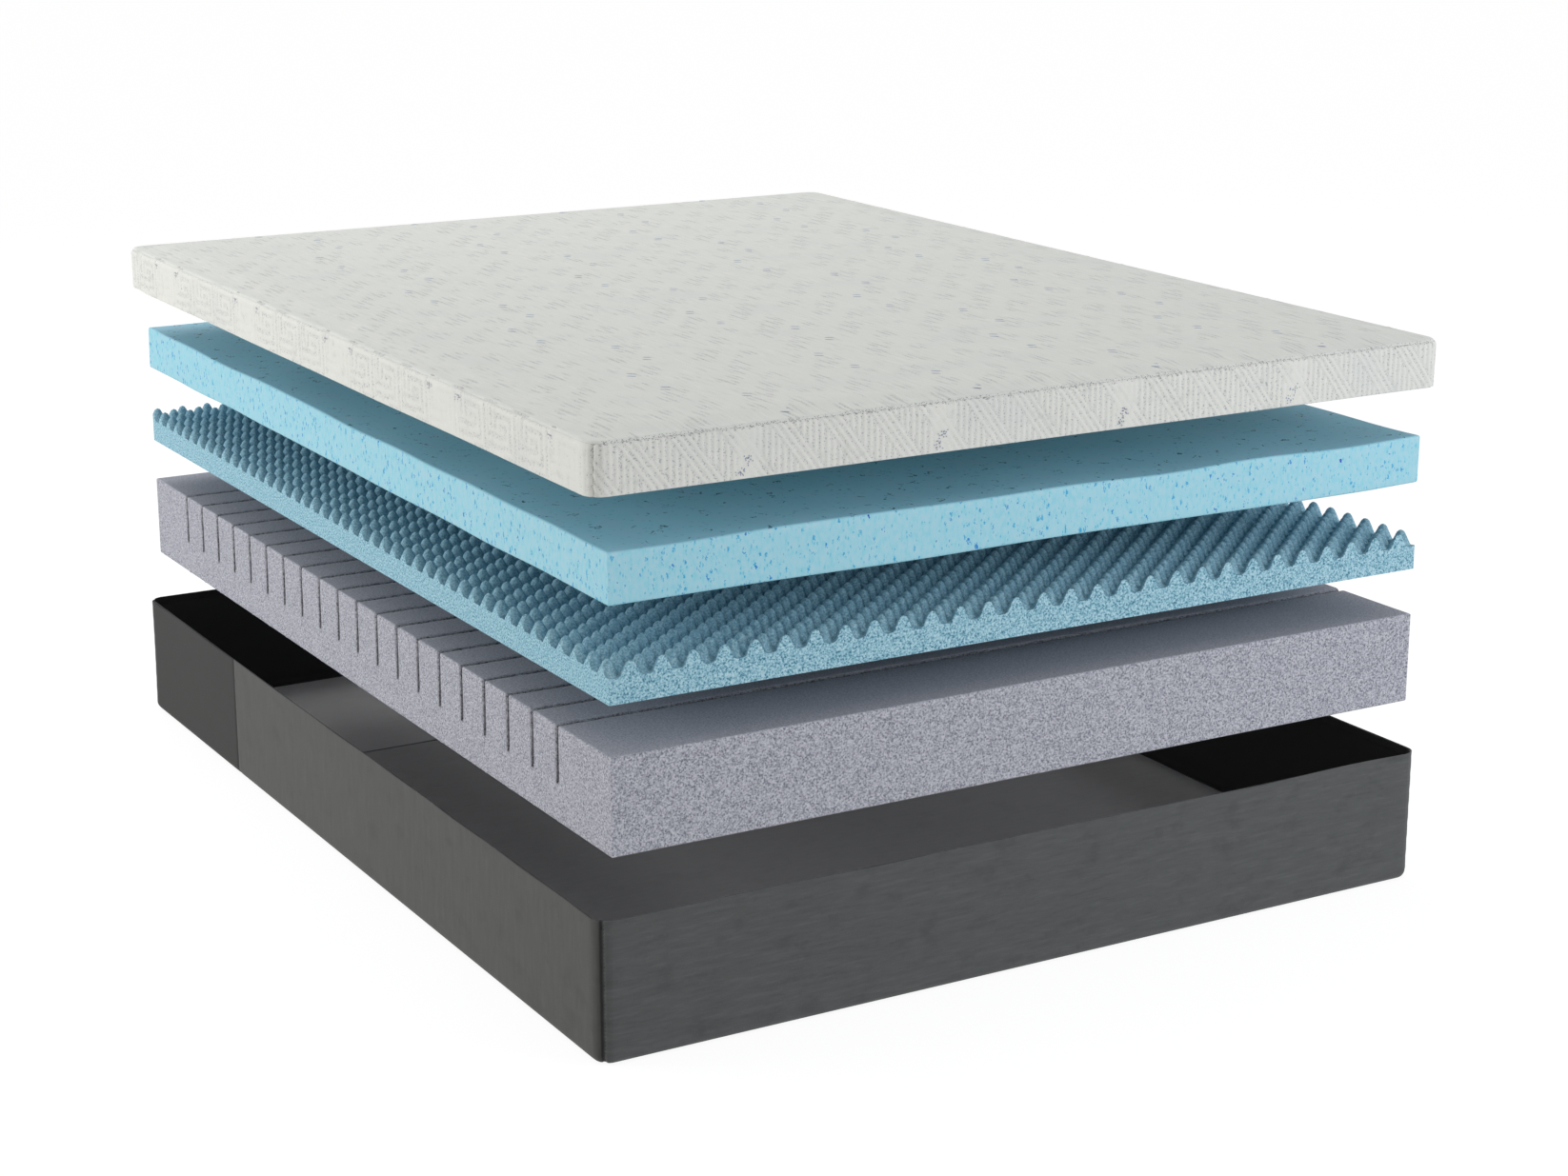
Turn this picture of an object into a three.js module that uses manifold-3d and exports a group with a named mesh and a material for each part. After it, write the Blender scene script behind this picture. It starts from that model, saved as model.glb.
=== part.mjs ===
// Queen-size memory foam mattress, laid open so that each layer floats above the one it rests on.
// A deep fabric tray and a shallow fabric cap zip together round three foam layers:
// slit support foam, convoluted foam with staggered peaks, and gel memory foam.
// Millimetres. +X runs across the bed, +Y from the foot to the head, +Z up.
// The tray's underside is z = 0, and the bed is centred on X = Y = 0.
import * as THREE from "three";
import { mergeVertices } from "three/addons/utils/BufferGeometryUtils.js";
import Module from "manifold-3d";

// Foam blocks
const FOAM_WIDTH = 1524;
const FOAM_LENGTH = 2032;
const SUPPORT_THICKNESS = 156;
const SLIT_COUNT = 20;
const SLIT_PITCH = 88;
const SLIT_WIDTH = 5;
const SLIT_DEPTH = 93;
const CONVOLUTED_BASE = 40;
const CONVOLUTED_PEAKS = 25;
const GEL_THICKNESS = 84;

// Cover shells
const COVER_WIDTH = 1584;
const COVER_LENGTH = 2052;
const CORNER_RADIUS = 30;
const EDGE_RADIUS = 12;
const TRAY_HEIGHT = 230;
const TRAY_FABRIC = 3;
const CAP_HEIGHT = 79;
const CAP_FABRIC = 4;
const CROSS_SEAM_Y = 520;
const SEAM_GAP = 0.3;

// Heights of the undersides when the bed is laid open
const SUPPORT_LIFT = 325;
const CONVOLUTED_LIFT = 560;
const GEL_LIFT = 708;
const CAP_LIFT = 875.5;

// Concealed zip round the join of the two shells
const TAPE_HEIGHT = 14;
const TAPE_THICKNESS = 1;
const COIL_WIDTH = 1.6;
const COIL_HEIGHT = 2.4;
const SLIDER_LENGTH = 18;
const SLIDER_REST_X = 740;
const SLIDER_PLATE = 2.2;
const SLIDER_PLATE_HEIGHT = 25;
const SLIDER_NECK_HEIGHT = 4.2;
const SLIDER_INNER_INSET = 6.4;
const BAIL_REACH = 8;
const BAIL_LENGTH = 13;
const BAIL_SECTION = 1.5;
const PULL_LENGTH = 30;
const PULL_WIDTH = 9;
const PULL_THICKNESS = 1.2;
const PULL_END_BAR = 1.4;
const PULL_RAIL = 1.4;
const PULL_EYE_SPARE = 3;
const PULL_HINGE_OFFSET = 3.5;
const ROOT_OVERLAP = 1;

// Sewn-in label on the head border
const LABEL_X = -530;
const LABEL_Z = 150;
const LABEL_SIZE = [64, 0.6, 44];

const CORNER_STEPS = 4;
const EDGE_STEPS = 4;
const RIGHT = 0;
const HEAD = Math.PI / 2;
const LEFT = Math.PI;
const FOOT = 1.5 * Math.PI;

const manifold = await Module();
manifold.setup();

// ---- The cover's outline -------------------------------------------------------------------
// A station is a centre (x, y) and an outward angle. The outline passes CORNER_RADIUS out from
// the centre, and a place "inset" inside the outline lies that much nearer the centre.

function stationPoint({ x, y, angle }, inset) {
  const reach = CORNER_RADIUS - inset;
  return new THREE.Vector2(x + reach * Math.cos(angle), y + reach * Math.sin(angle));
}

function cornerArc(diagonal, fromAngle, toAngle) {
  const x = Math.sign(Math.cos(diagonal)) * (COVER_WIDTH / 2 - CORNER_RADIUS);
  const y = Math.sign(Math.sin(diagonal)) * (COVER_LENGTH / 2 - CORNER_RADIUS);
  return Array.from({ length: CORNER_STEPS + 1 }, (_, i) => ({
    x,
    y,
    angle: THREE.MathUtils.lerp(fromAngle, toAngle, i / CORNER_STEPS),
  }));
}

// One side's stations, anticlockwise from the middle of one corner to the middle of the next,
// each end pulled back by half of the corner seam.
function sideStations(side) {
  const before = side - Math.PI / 4;
  const after = side + Math.PI / 4;
  const seamAngle = SEAM_GAP / CORNER_RADIUS;
  return [
    ...cornerArc(before, before + seamAngle, side),
    ...cornerArc(after, side, after - seamAngle),
  ];
}

function outlineStations() {
  return [FOOT, RIGHT, HEAD, LEFT].flatMap(sideStations);
}

// A long side cut at the cross seam, as [foot part, head part].
function splitSide(side) {
  const stations = sideStations(side);
  const half = stations.length / 2;
  const towardsHead = side === RIGHT ? 1 : -1;
  const cut = (direction) => ({
    x: stations[0].x,
    y: CROSS_SEAM_Y + (direction * SEAM_GAP) / 2,
    angle: side,
  });
  const first = [...stations.slice(0, half), cut(-towardsHead)];
  const second = [cut(towardsHead), ...stations.slice(half)];
  return side === RIGHT ? [first, second] : [second, first];
}

// ---- Solids --------------------------------------------------------------------------------

// Sweeps a closed section of [inset, z] points along stations that run anticlockwise.
function sweptWall(stations, section, { ring = false } = {}) {
  const outline = section.map(([inset, z]) => new THREE.Vector2(inset, z));
  if (THREE.ShapeUtils.isClockWise(outline)) outline.reverse();
  const positions = stations.flatMap((station) =>
    outline.flatMap(({ x: inset, y: z }) => {
      const place = stationPoint(station, inset);
      return [place.x, place.y, z];
    }),
  );
  const count = outline.length;
  const at = (station, point) => (station % stations.length) * count + (point % count);
  const index = [];
  const spans = ring ? stations.length : stations.length - 1;
  for (let s = 0; s < spans; s++) {
    for (let p = 0; p < count; p++) {
      index.push(at(s, p), at(s, p + 1), at(s + 1, p + 1));
      index.push(at(s, p), at(s + 1, p + 1), at(s + 1, p));
    }
  }
  if (!ring) {
    for (const [a, b, c] of THREE.ShapeUtils.triangulateShape(outline, [])) {
      index.push(at(0, c), at(0, b), at(0, a));
      index.push(at(spans, a), at(spans, b), at(spans, c));
    }
  }
  const geometry = new THREE.BufferGeometry();
  geometry.setAttribute("position", new THREE.Float32BufferAttribute(positions, 3));
  geometry.setIndex(index);
  geometry.computeVertexNormals();
  return geometry;
}

// A shell wall's section: straight from its free rim, then turned inwards onto the flat face.
function shellSection(rimZ, faceZ, thickness) {
  const towardsRim = Math.sign(rimZ - faceZ);
  const turn = (radius) =>
    Array.from({ length: EDGE_STEPS + 1 }, (_, i) => {
      const angle = (i / EDGE_STEPS) * (Math.PI / 2);
      return [
        EDGE_RADIUS - radius * Math.cos(angle),
        faceZ + towardsRim * (EDGE_RADIUS - radius * Math.sin(angle)),
      ];
    });
  return [
    [0, rimZ],
    ...turn(EDGE_RADIUS),
    ...turn(EDGE_RADIUS - thickness).reverse(),
    [thickness, rimZ],
  ];
}

// A flat fabric panel that fills the outline up to the turned-in walls.
function flatPanel(stations, z, thickness) {
  const points = stations.map((station) => stationPoint(station, EDGE_RADIUS + SEAM_GAP));
  const options = { depth: thickness, bevelEnabled: false };
  return new THREE.ExtrudeGeometry(new THREE.Shape(points), options).translate(0, 0, z);
}

// Extrudes a (y, z) outline across the foam's width.
function acrossBed(outline, width) {
  const axes = [new THREE.Vector3(0, 1, 0), new THREE.Vector3(0, 0, 1), new THREE.Vector3(1, 0, 0)];
  const shape = new THREE.Shape(outline.map(([y, z]) => new THREE.Vector2(y, z)));
  return new THREE.ExtrudeGeometry(shape, { depth: width, bevelEnabled: false })
    .translate(0, 0, -width / 2)
    .applyMatrix4(new THREE.Matrix4().makeBasis(...axes));
}

function foamBlock(thickness) {
  return new THREE.BoxGeometry(FOAM_WIDTH, FOAM_LENGTH, thickness).translate(0, 0, thickness / 2);
}

// Support foam: cross slits cut down from its top let it bend in zones.
function slitBlock() {
  const end = FOAM_LENGTH / 2;
  const top = SUPPORT_THICKNESS;
  const outline = [[-end, 0], [end, 0], [end, top]];
  for (let i = SLIT_COUNT - 1; i >= 0; i--) {
    const y = (i - (SLIT_COUNT - 1) / 2) * SLIT_PITCH;
    outline.push([y + SLIT_WIDTH / 2, top], [y + SLIT_WIDTH / 2, top - SLIT_DEPTH]);
    outline.push([y - SLIT_WIDTH / 2, top - SLIT_DEPTH], [y - SLIT_WIDTH / 2, top]);
  }
  outline.push([-end, top]);
  return acrossBed(outline, FOAM_WIDTH);
}

// Zip tape against a shell's inner face, with its coil along the shell's free edge.
function zipTape(edgeZ, awayFromEdge, fabric) {
  const back = fabric + SEAM_GAP;
  const front = back + TAPE_THICKNESS;
  const coil = back + COIL_WIDTH;
  const section = [
    [back, edgeZ + awayFromEdge * TAPE_HEIGHT],
    [back, edgeZ],
    [coil, edgeZ],
    [coil, edgeZ + awayFromEdge * COIL_HEIGHT],
    [front, edgeZ + awayFromEdge * COIL_HEIGHT],
    [front, edgeZ + awayFromEdge * TAPE_HEIGHT],
  ];
  return sweptWall(outlineStations(), section, { ring: true });
}

function boxBetween([x0, y0, z0], [x1, y1, z1]) {
  return new THREE.BoxGeometry(x1 - x0, y1 - y0, z1 - z0).translate(
    (x0 + x1) / 2,
    (y0 + y1) / 2,
    (z0 + z1) / 2,
  );
}

function toManifold(geometry) {
  const bare = geometry.clone();
  bare.deleteAttribute("normal");
  bare.deleteAttribute("uv");
  const merged = mergeVertices(bare);
  return new manifold.Manifold(
    new manifold.Mesh({
      numProp: 3,
      vertProperties: merged.attributes.position.array,
      triVerts: new Uint32Array(merged.index.array),
    }),
  );
}

function joined(geometries) {
  const mesh = geometries.map(toManifold).reduce((all, next) => all.add(next)).getMesh();
  const geometry = new THREE.BufferGeometry();
  geometry.setAttribute("position", new THREE.BufferAttribute(mesh.vertProperties, 3));
  geometry.setIndex(new THREE.BufferAttribute(mesh.triVerts, 1));
  return geometry;
}

// Slider: two plates joined by a neck that passes between the shells, and a bail for the pull.
// It is drawn about the middle of its length, with y = 0 on the cover's outer face.
function zipSlider() {
  const half = SLIDER_LENGTH / 2;
  const middle = TRAY_HEIGHT + SEAM_GAP + SLIDER_NECK_HEIGHT / 2;
  const low = middle - SLIDER_PLATE_HEIGHT / 2;
  const high = middle + SLIDER_PLATE_HEIGHT / 2;
  const outer = SEAM_GAP + SLIDER_PLATE;
  const inner = -SLIDER_INNER_INSET;
  const neck = SLIDER_NECK_HEIGHT / 2;
  const reach = outer + BAIL_REACH;
  const bail = BAIL_LENGTH / 2;
  const bar = BAIL_SECTION / 2;
  const barLow = middle - bar;
  const barHigh = middle + bar;
  const post = (x) =>
    boxBetween([x, outer - ROOT_OVERLAP, barLow], [x + BAIL_SECTION, reach, barHigh]);
  return joined([
    boxBetween([-half, SEAM_GAP, low], [half, outer, high]),
    boxBetween([-half, inner - SLIDER_PLATE, low], [half, inner, high]),
    boxBetween(
      [-half, inner - ROOT_OVERLAP, middle - neck],
      [half, outer - ROOT_OVERLAP, middle + neck],
    ),
    post(-bail),
    post(bail - BAIL_SECTION),
    boxBetween([-bail, reach - BAIL_SECTION, barLow], [bail, reach, barHigh]),
  ]);
}

// Pull: a flat tab whose end bar lies on the hinge line, inside the bail. Drawn about that line.
function zipPull() {
  const half = PULL_WIDTH / 2;
  const bar = PULL_END_BAR / 2;
  const eyeEnd = BAIL_LENGTH / 2 + PULL_EYE_SPARE;
  const eyeHalf = half - PULL_RAIL;
  const tab = new THREE.Shape([
    new THREE.Vector2(-bar, -half),
    new THREE.Vector2(PULL_LENGTH, -half),
    new THREE.Vector2(PULL_LENGTH, half),
    new THREE.Vector2(-bar, half),
  ]);
  const eye = [[bar, -eyeHalf], [eyeEnd, -eyeHalf], [eyeEnd, eyeHalf], [bar, eyeHalf]];
  tab.holes.push(new THREE.Path(eye.map(([x, z]) => new THREE.Vector2(x, z))));
  return new THREE.ExtrudeGeometry(tab, { depth: PULL_THICKNESS, bevelEnabled: false })
    .translate(0, 0, -PULL_THICKNESS / 2)
    .rotateX(Math.PI / 2);
}

// ---- Materials -----------------------------------------------------------------------------

const KNIT = { color: "#dfe0db", roughness: 0.9, metalness: 0 };
const GEL = { color: "#9fd0de", roughness: 0.75, metalness: 0 };
const CONVOLUTED = { color: "#8fc0cd", roughness: 0.85, metalness: 0 };
const SUPPORT = { color: "#a9a9b1", roughness: 0.95, metalness: 0 };
const BORDER = { color: "#5a5b5a", roughness: 0.85, metalness: 0 };
const BORDER_DARK = { color: "#3f403e", roughness: 0.85, metalness: 0 };
const TAPE = { color: "#1b1b1c", roughness: 0.8, metalness: 0 };
const METAL = { color: "#3a3b3d", roughness: 0.35, metalness: 0.9 };
const LABEL = { color: "#eeeeea", roughness: 0.8, metalness: 0 };

function addPart(group, name, geometry, finish) {
  const mesh = new THREE.Mesh(geometry, new THREE.MeshStandardMaterial(finish));
  mesh.name = name;
  group.add(mesh);
  return mesh;
}

function bodyGroup(parent, x, y, z) {
  const group = new THREE.Group();
  group.position.set(x, y, z);
  parent.add(group);
  return group;
}

// ---- Sub-assemblies ------------------------------------------------------------------------

function addTray(parent) {
  const tray = bodyGroup(parent, 0, 0, 0);
  const section = shellSection(TRAY_HEIGHT, 0, TRAY_FABRIC);
  const [rightFoot, rightHead] = splitSide(RIGHT);
  const [leftFoot, leftHead] = splitSide(LEFT);
  const footSide = sideStations(FOOT);
  const headSide = sideStations(HEAD);
  const footPanel = flatPanel([...leftFoot, ...footSide, ...rightFoot], 0, TRAY_FABRIC);
  const headPanel = flatPanel([...rightHead, ...headSide, ...leftHead], 0, TRAY_FABRIC);
  addPart(tray, "bottom_panel_main", footPanel, BORDER);
  addPart(tray, "bottom_panel_head", headPanel, BORDER);
  addPart(tray, "border_foot", sweptWall(footSide, section), BORDER);
  addPart(tray, "border_right_main", sweptWall(rightFoot, section), BORDER);
  addPart(tray, "border_right_head", sweptWall(rightHead, section), BORDER_DARK);
  addPart(tray, "border_head", sweptWall(headSide, section), BORDER_DARK);
  addPart(tray, "border_left_head", sweptWall(leftHead, section), BORDER_DARK);
  addPart(tray, "border_left_main", sweptWall(leftFoot, section), BORDER);
  addPart(tray, "zip_tape_lower", zipTape(TRAY_HEIGHT, -1, TRAY_FABRIC), TAPE);
  const label = addPart(tray, "care_label", new THREE.BoxGeometry(...LABEL_SIZE), LABEL);
  label.position.set(LABEL_X, COVER_LENGTH / 2 + SEAM_GAP + LABEL_SIZE[1] / 2, LABEL_Z);
}

function addFoams(parent) {
  const support = bodyGroup(parent, 0, 0, SUPPORT_LIFT);
  addPart(support, "support_foam", slitBlock(), SUPPORT);
  const convoluted = bodyGroup(parent, 0, 0, CONVOLUTED_LIFT);
  const envelope = foamBlock(CONVOLUTED_BASE + CONVOLUTED_PEAKS);
  addPart(convoluted, "convoluted_foam", envelope, CONVOLUTED);
  const gel = bodyGroup(parent, 0, 0, GEL_LIFT);
  addPart(gel, "gel_memory_foam", foamBlock(GEL_THICKNESS), GEL);
}

function addCap(parent) {
  const cap = bodyGroup(parent, 0, 0, CAP_LIFT);
  const section = shellSection(0, CAP_HEIGHT, CAP_FABRIC);
  const panel = flatPanel(outlineStations(), CAP_HEIGHT - CAP_FABRIC, CAP_FABRIC);
  addPart(cap, "top_panel", panel, KNIT);
  const bands = { foot: FOOT, right: RIGHT, head: HEAD, left: LEFT };
  for (const [name, side] of Object.entries(bands)) {
    addPart(cap, "top_band_" + name, sweptWall(sideStations(side), section), KNIT);
  }
  addPart(cap, "zip_tape_upper", zipTape(0, 1, CAP_FABRIC), TAPE);
}

function addZipSlider(parent) {
  const slider = bodyGroup(parent, SLIDER_REST_X, COVER_LENGTH / 2, 0);
  addPart(slider, "zip_slider", zipSlider(), METAL);
  const hingeZ = TRAY_HEIGHT + SEAM_GAP + SLIDER_NECK_HEIGHT / 2;
  const hingeY = SEAM_GAP + SLIDER_PLATE + PULL_HINGE_OFFSET;
  addPart(bodyGroup(slider, 0, hingeY, hingeZ), "zip_pull", zipPull(), METAL);
}

const mattress = new THREE.Group();
mattress.name = "memory_foam_mattress";
addTray(mattress);
addFoams(mattress);
addCap(mattress);
addZipSlider(mattress);

export default mattress;
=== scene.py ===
import math

import bpy
import numpy as np
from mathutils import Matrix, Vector


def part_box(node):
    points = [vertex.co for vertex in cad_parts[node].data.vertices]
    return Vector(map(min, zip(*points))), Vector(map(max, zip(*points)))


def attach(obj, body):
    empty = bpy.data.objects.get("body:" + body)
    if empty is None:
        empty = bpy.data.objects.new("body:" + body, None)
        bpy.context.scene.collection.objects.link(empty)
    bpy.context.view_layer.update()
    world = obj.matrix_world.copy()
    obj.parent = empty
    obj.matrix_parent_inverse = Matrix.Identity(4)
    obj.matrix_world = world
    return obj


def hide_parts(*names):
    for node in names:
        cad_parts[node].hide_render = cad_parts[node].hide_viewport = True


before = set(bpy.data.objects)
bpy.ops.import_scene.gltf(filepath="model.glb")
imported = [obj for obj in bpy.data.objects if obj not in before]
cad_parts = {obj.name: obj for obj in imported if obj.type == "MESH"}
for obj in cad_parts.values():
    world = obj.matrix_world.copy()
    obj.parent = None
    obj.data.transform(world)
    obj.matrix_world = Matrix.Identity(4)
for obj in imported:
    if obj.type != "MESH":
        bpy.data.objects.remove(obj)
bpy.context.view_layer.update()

# ---- Dimensions read from the frame ----

HALF_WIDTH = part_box("border_right_main")[1].x
HALF_LENGTH = -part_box("border_foot")[0].y
TRAY_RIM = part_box("border_foot")[1].z
CROSS_SEAM_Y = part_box("border_right_head")[0].y
CAP_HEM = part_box("top_band_foot")[0].z
CAP_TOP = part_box("top_panel")[1].z
SUPPORT_LOW, SUPPORT_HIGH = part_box("support_foam")
CONVOLUTED_LOW, CONVOLUTED_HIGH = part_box("convoluted_foam")
GEL_LOW, GEL_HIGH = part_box("gel_memory_foam")
LABEL_LOW, LABEL_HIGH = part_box("care_label")

# ---- Dimensions of the soft pieces ----

MM = 0.001
TAU = 2 * math.pi
CORNER_RADIUS = 30 * MM
SEAM_GAP = 0.3 * MM

# Tray: the steps are the spacing of its mesh
TRAY_FABRIC = 3 * MM
TRAY_BOTTOM_RADIUS = 14 * MM
TRAY_STEP = 9 * MM
TRAY_STEP_FINE = 1.5 * MM
FLOOR_STEP = 24 * MM
CORNER_SEAM = 3.2 * MM
CORNER_SEAM_WIDTH = 4.5 * MM
CROSS_SEAM = 1.0 * MM
FLOOR_SEAM = 1.6 * MM
FLOOR_SEAM_WIDTH = 3 * MM
PUCKER_REACH = 14 * MM
PUCKER_PITCH = 15 * MM
SLIDER_REACH = 60 * MM
INNER_WALL_EVERY = 3

# Cap
CAP_FABRIC = 4 * MM
HEM_REACH = 2 * MM
CAP_ROLL_RADIUS = 12 * MM
CAP_ROLL_ANGLE = math.pi / 4
CAP_STEP = 2.6 * MM
CAP_STEP_FINE = 1.2 * MM
EDGE_SEAM = 0.9 * MM
EDGE_SEAM_WIDTH = 2.2 * MM
BAND_SEAM = 1.8 * MM
BAND_SEAM_WIDTH = 3 * MM
CORNER_CLEARANCE = 40 * MM
PANEL_STEP = (2.8 * MM, 9 * MM)
PANEL_STEP_FINE = 1.5 * MM
PANEL_SWELL = -0.04
PANEL_CLOTH = {
    "vertex_group_mass": "held",
    "quality": 5,
    "mass": 0.4,
    "tension_stiffness": 12,
    "compression_stiffness": 12,
    "shear_stiffness": 6,
    "bending_stiffness": 4,
    "shrink_min": -0.0016,
}

# Knitted pattern: its repeat, its ridges, and the woven marks every four repeats
MOTIF_X = 84.5 * MM
MOTIF_Y = 109 * MM
RIDGE_HEIGHT = 1.0 * MM
SIDE_RIDGE_HEIGHT = 0.75 * MM
RIDGE_SPACING = 12 * MM
STROKE_SPACING = MOTIF_X / 8
KEY_SPACING = 17 * MM
MARK_CELL = (4 * MOTIF_X, 4 * MOTIF_Y)
MARK_COLUMNS = ((-195 * MM, -272 * MM), (-110 * MM, -51 * MM))
MARK_SPREAD = 56 * MM
SIDE_MARK_Y = -82 * MM
END_MARK_X = -199 * MM

# Foams
SLIT_COUNT = 20
SLIT_PITCH = 88 * MM
SLIT_WIDTH = 5 * MM
SLIT_DEPTH = 93 * MM
SLIT_EDGE = 3 * MM
SLIT_EDGE_REACH = 6 * MM
# SLIT_SHADE: how far past a slit's wall its painted shade reaches
SLIT_SHADE = 2.5 * MM
LIP_REACH = 9 * MM
LIP_DROP = 3 * MM
SUPPORT_EDGE = 3 * MM
GEL_EDGE = 4 * MM
SIDE_STEP = 12 * MM
PEAK_HEIGHT = 25 * MM
PEAK_RADIUS = 18.5 * MM
PEAK_ROUNDNESS = 1.3
PEAK_PITCH_X = 51.86 * MM
PEAK_PITCH_Y = 45.6 * MM
PEAK_ROW_INSET = 1.5 * MM

# The sides, as the angles they face
FOOT, RIGHT, HEAD, LEFT = (-math.pi / 2, 0.0, math.pi / 2, math.pi)


# ---- Numbers ----

def ripple(points, wavelength, seed, waves=8):
    """Smooth noise from about -1 to 1 whose features are one wavelength apart."""
    rng = np.random.default_rng(seed)
    directions = rng.normal(size=(waves, points.shape[-1]))
    directions /= np.linalg.norm(directions, axis=1, keepdims=True)
    total = np.zeros(points.shape[:-1])
    for direction in directions:
        turns = points @ direction * rng.uniform(0.6, 1.5) / wavelength
        total += np.sin(TAU * (turns + rng.uniform()))
    return total / math.sqrt(waves)


def eased(value):
    """0 below 0, 1 above 1, and a smooth rise between."""
    value = np.clip(value, 0, 1)
    return value * value * (3 - 2 * value)


def wrapped(value, period):
    """Signed distance to the nearest multiple of a period."""
    return value - period * np.round(value / period)


def spaced(start, end, step):
    """Evenly spaced numbers from start to end, about one step apart."""
    return np.linspace(start, end, max(2, 1 + round(abs(end - start) / step)))


def crowded(start, end, step, fine, zone):
    """Numbers from start to end that lie closer together near both ends."""
    first = spaced(start, start + zone, fine)
    last = spaced(end - zone, end, fine)
    return np.concatenate([first[:-1], spaced(start + zone, end - zone, step), last[1:]])


# ---- Closed skins ----

def plane(xs, ys):
    """A grid of flat places, its rows along x and its columns along y."""
    return np.stack(np.meshgrid(xs, ys, indexing="ij"), axis=-1)


def lifted(flat, height):
    """Flat places with a height, or a height for each."""
    height = np.broadcast_to(np.asarray(height, float), flat.shape[:-1])
    return np.concatenate([flat, height[..., None]], axis=-1)


def rim_places(rows, columns):
    """Grid places round the edge of a grid, anticlockwise seen from its front."""
    places = [(i, 0) for i in range(rows - 1)]
    places += [(rows - 1, j) for j in range(columns - 1)]
    places += [(i, columns - 1) for i in range(rows - 1, 0, -1)]
    places += [(0, j) for j in range(columns - 1, 0, -1)]
    return places


def grid_faces(rows, columns, first=0, back=False):
    index = first + np.arange(rows * columns).reshape(rows, columns)
    corners = [index[:-1, :-1], index[1:, :-1], index[1:, 1:], index[:-1, 1:]]
    faces = np.stack(corners, axis=-1).reshape(-1, 4)
    return (faces[:, ::-1] if back else faces).tolist()


def thinned(count, every):
    """Every so many of the first count whole numbers, with the last one always in."""
    return [*range(0, count - 1, every), count - 1]


def closed_skin(front, back, between=(), every=1):
    """Points and faces of a body between a grid of front points and a like grid of back points.

    between holds loops of points round the edge, on the way from front to back, and the back
    keeps one grid line in every so many.
    """
    rows, columns = front.shape[:2]
    places = rim_places(rows, columns)
    loop = [i * columns + j for i, j in places]
    points = [front.reshape(-1, 3)]
    faces = grid_faces(rows, columns)
    count = rows * columns
    for ring in between:
        lower = [count + k for k in range(len(places))]
        for k in range(len(places)):
            after = (k + 1) % len(places)
            faces.append([lower[k], lower[after], loop[after], loop[k]])
        points.append(ring)
        loop = lower
        count += len(places)
    kept_rows, kept_columns = thinned(rows, every), thinned(columns, every)
    points.append(back[np.ix_(kept_rows, kept_columns)].reshape(-1, 3))
    faces += grid_faces(len(kept_rows), len(kept_columns), count, back=True)
    row_at = {i: n for n, i in enumerate(kept_rows)}
    column_at = {j: n for n, j in enumerate(kept_columns)}
    stops = [k for k, (i, j) in enumerate(places) if i in row_at and j in column_at]
    for k, stop in zip(stops, stops[1:] + [len(places)]):
        ends = [places[k], places[stop % len(places)]]
        face = [count + row_at[i] * len(kept_columns) + column_at[j] for i, j in ends]
        face += [loop[m % len(places)] for m in range(stop, k - 1, -1)]
        faces.append(face)
    return np.concatenate(points), faces


def soft(node):
    """The name of the soft piece that stands for a CAD node."""
    return node + "_soft"


def linked(name, data):
    """A new object in the scene."""
    thing = bpy.data.objects.new(name, data)
    bpy.context.scene.collection.objects.link(thing)
    return thing


def make_piece(name, skin, looks, sharp_angle=40, ridges=None):
    """A mesh object of a skin. ridges, from 0 to 1, mark its first points for painted shade: the
    knitted relief's grooves, or closeness to a tray seam.
    """
    points, faces = skin
    mesh = bpy.data.meshes.new(name)
    mesh.from_pydata(points.tolist(), [], faces)
    if ridges is not None:
        shade = np.ones(len(points), np.float32)
        shade[: ridges.size] = ridges.ravel()
        mesh.attributes.new("painted_shade", "FLOAT", "POINT").data.foreach_set("value", shade)
    for look in looks:
        mesh.materials.append(LOOKS[look])
    mesh.shade_smooth()
    mesh.set_sharp_from_angle(angle=math.radians(sharp_angle))
    return linked(name, mesh)


def give_look(piece, number, chosen):
    """Gives the faces that chosen picks another of the piece's materials."""
    for face in piece.data.polygons:
        if chosen(face):
            face.material_index = number


def upright(face):
    """Whether a face belongs to a side of a block, and not to its top or bottom."""
    x, y, z = (abs(part) for part in face.normal)
    return z < max(x, y) and min(x, y) < 0.1


def fit_out(piece, body, slot, *nodes):
    """Rides a piece on its body, in place of the CAD nodes named."""
    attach(piece, body)
    if nodes:
        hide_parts(*nodes)


def stand_in(node, body, slot, skin, looks, **settings):
    """The soft piece that is seen in place of a CAD node."""
    piece = make_piece(soft(node), skin, looks, **settings)
    fit_out(piece, body, slot, node)
    return piece


def sew(name, body, slot, threads, size, look):
    """One mesh of small rounded thread floats, each with a place, a direction and a normal."""
    cube = np.array([-1.0, 0.0, 1.0])
    front = lifted(plane(cube, cube), 1)
    back = front * (1, 1, -1)
    middle = np.array([front[i, j] * (1, 1, 0) for i, j in rim_places(3, 3)])
    points, faces = closed_skin(front, back, [middle])
    points /= np.linalg.norm(points, axis=1, keepdims=True)
    centres, along, normals = (np.array(part, float)[:, None, :] for part in zip(*threads))
    across = np.cross(normals, along)
    half = np.asarray(size, float) / 2
    placed = centres + sum(
        points[None, :, k : k + 1] * half[k] * axis
        for k, axis in enumerate((along, across, normals))
    )
    count = len(points)
    copies = [[v + n * count for v in face] for n in range(len(placed)) for face in faces]
    piece = make_piece(name, (placed.reshape(-1, 3), copies), [look], sharp_angle=180)
    fit_out(piece, body, slot)


# ---- The cover's outline ----

def side_lengths(side):
    """Straight length of a cover side, and half of a corner's arc."""
    long_side = side in (RIGHT, LEFT)
    half = HALF_LENGTH if long_side else HALF_WIDTH
    return 2 * (half - CORNER_RADIUS), CORNER_RADIUS * math.pi / 4


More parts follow.
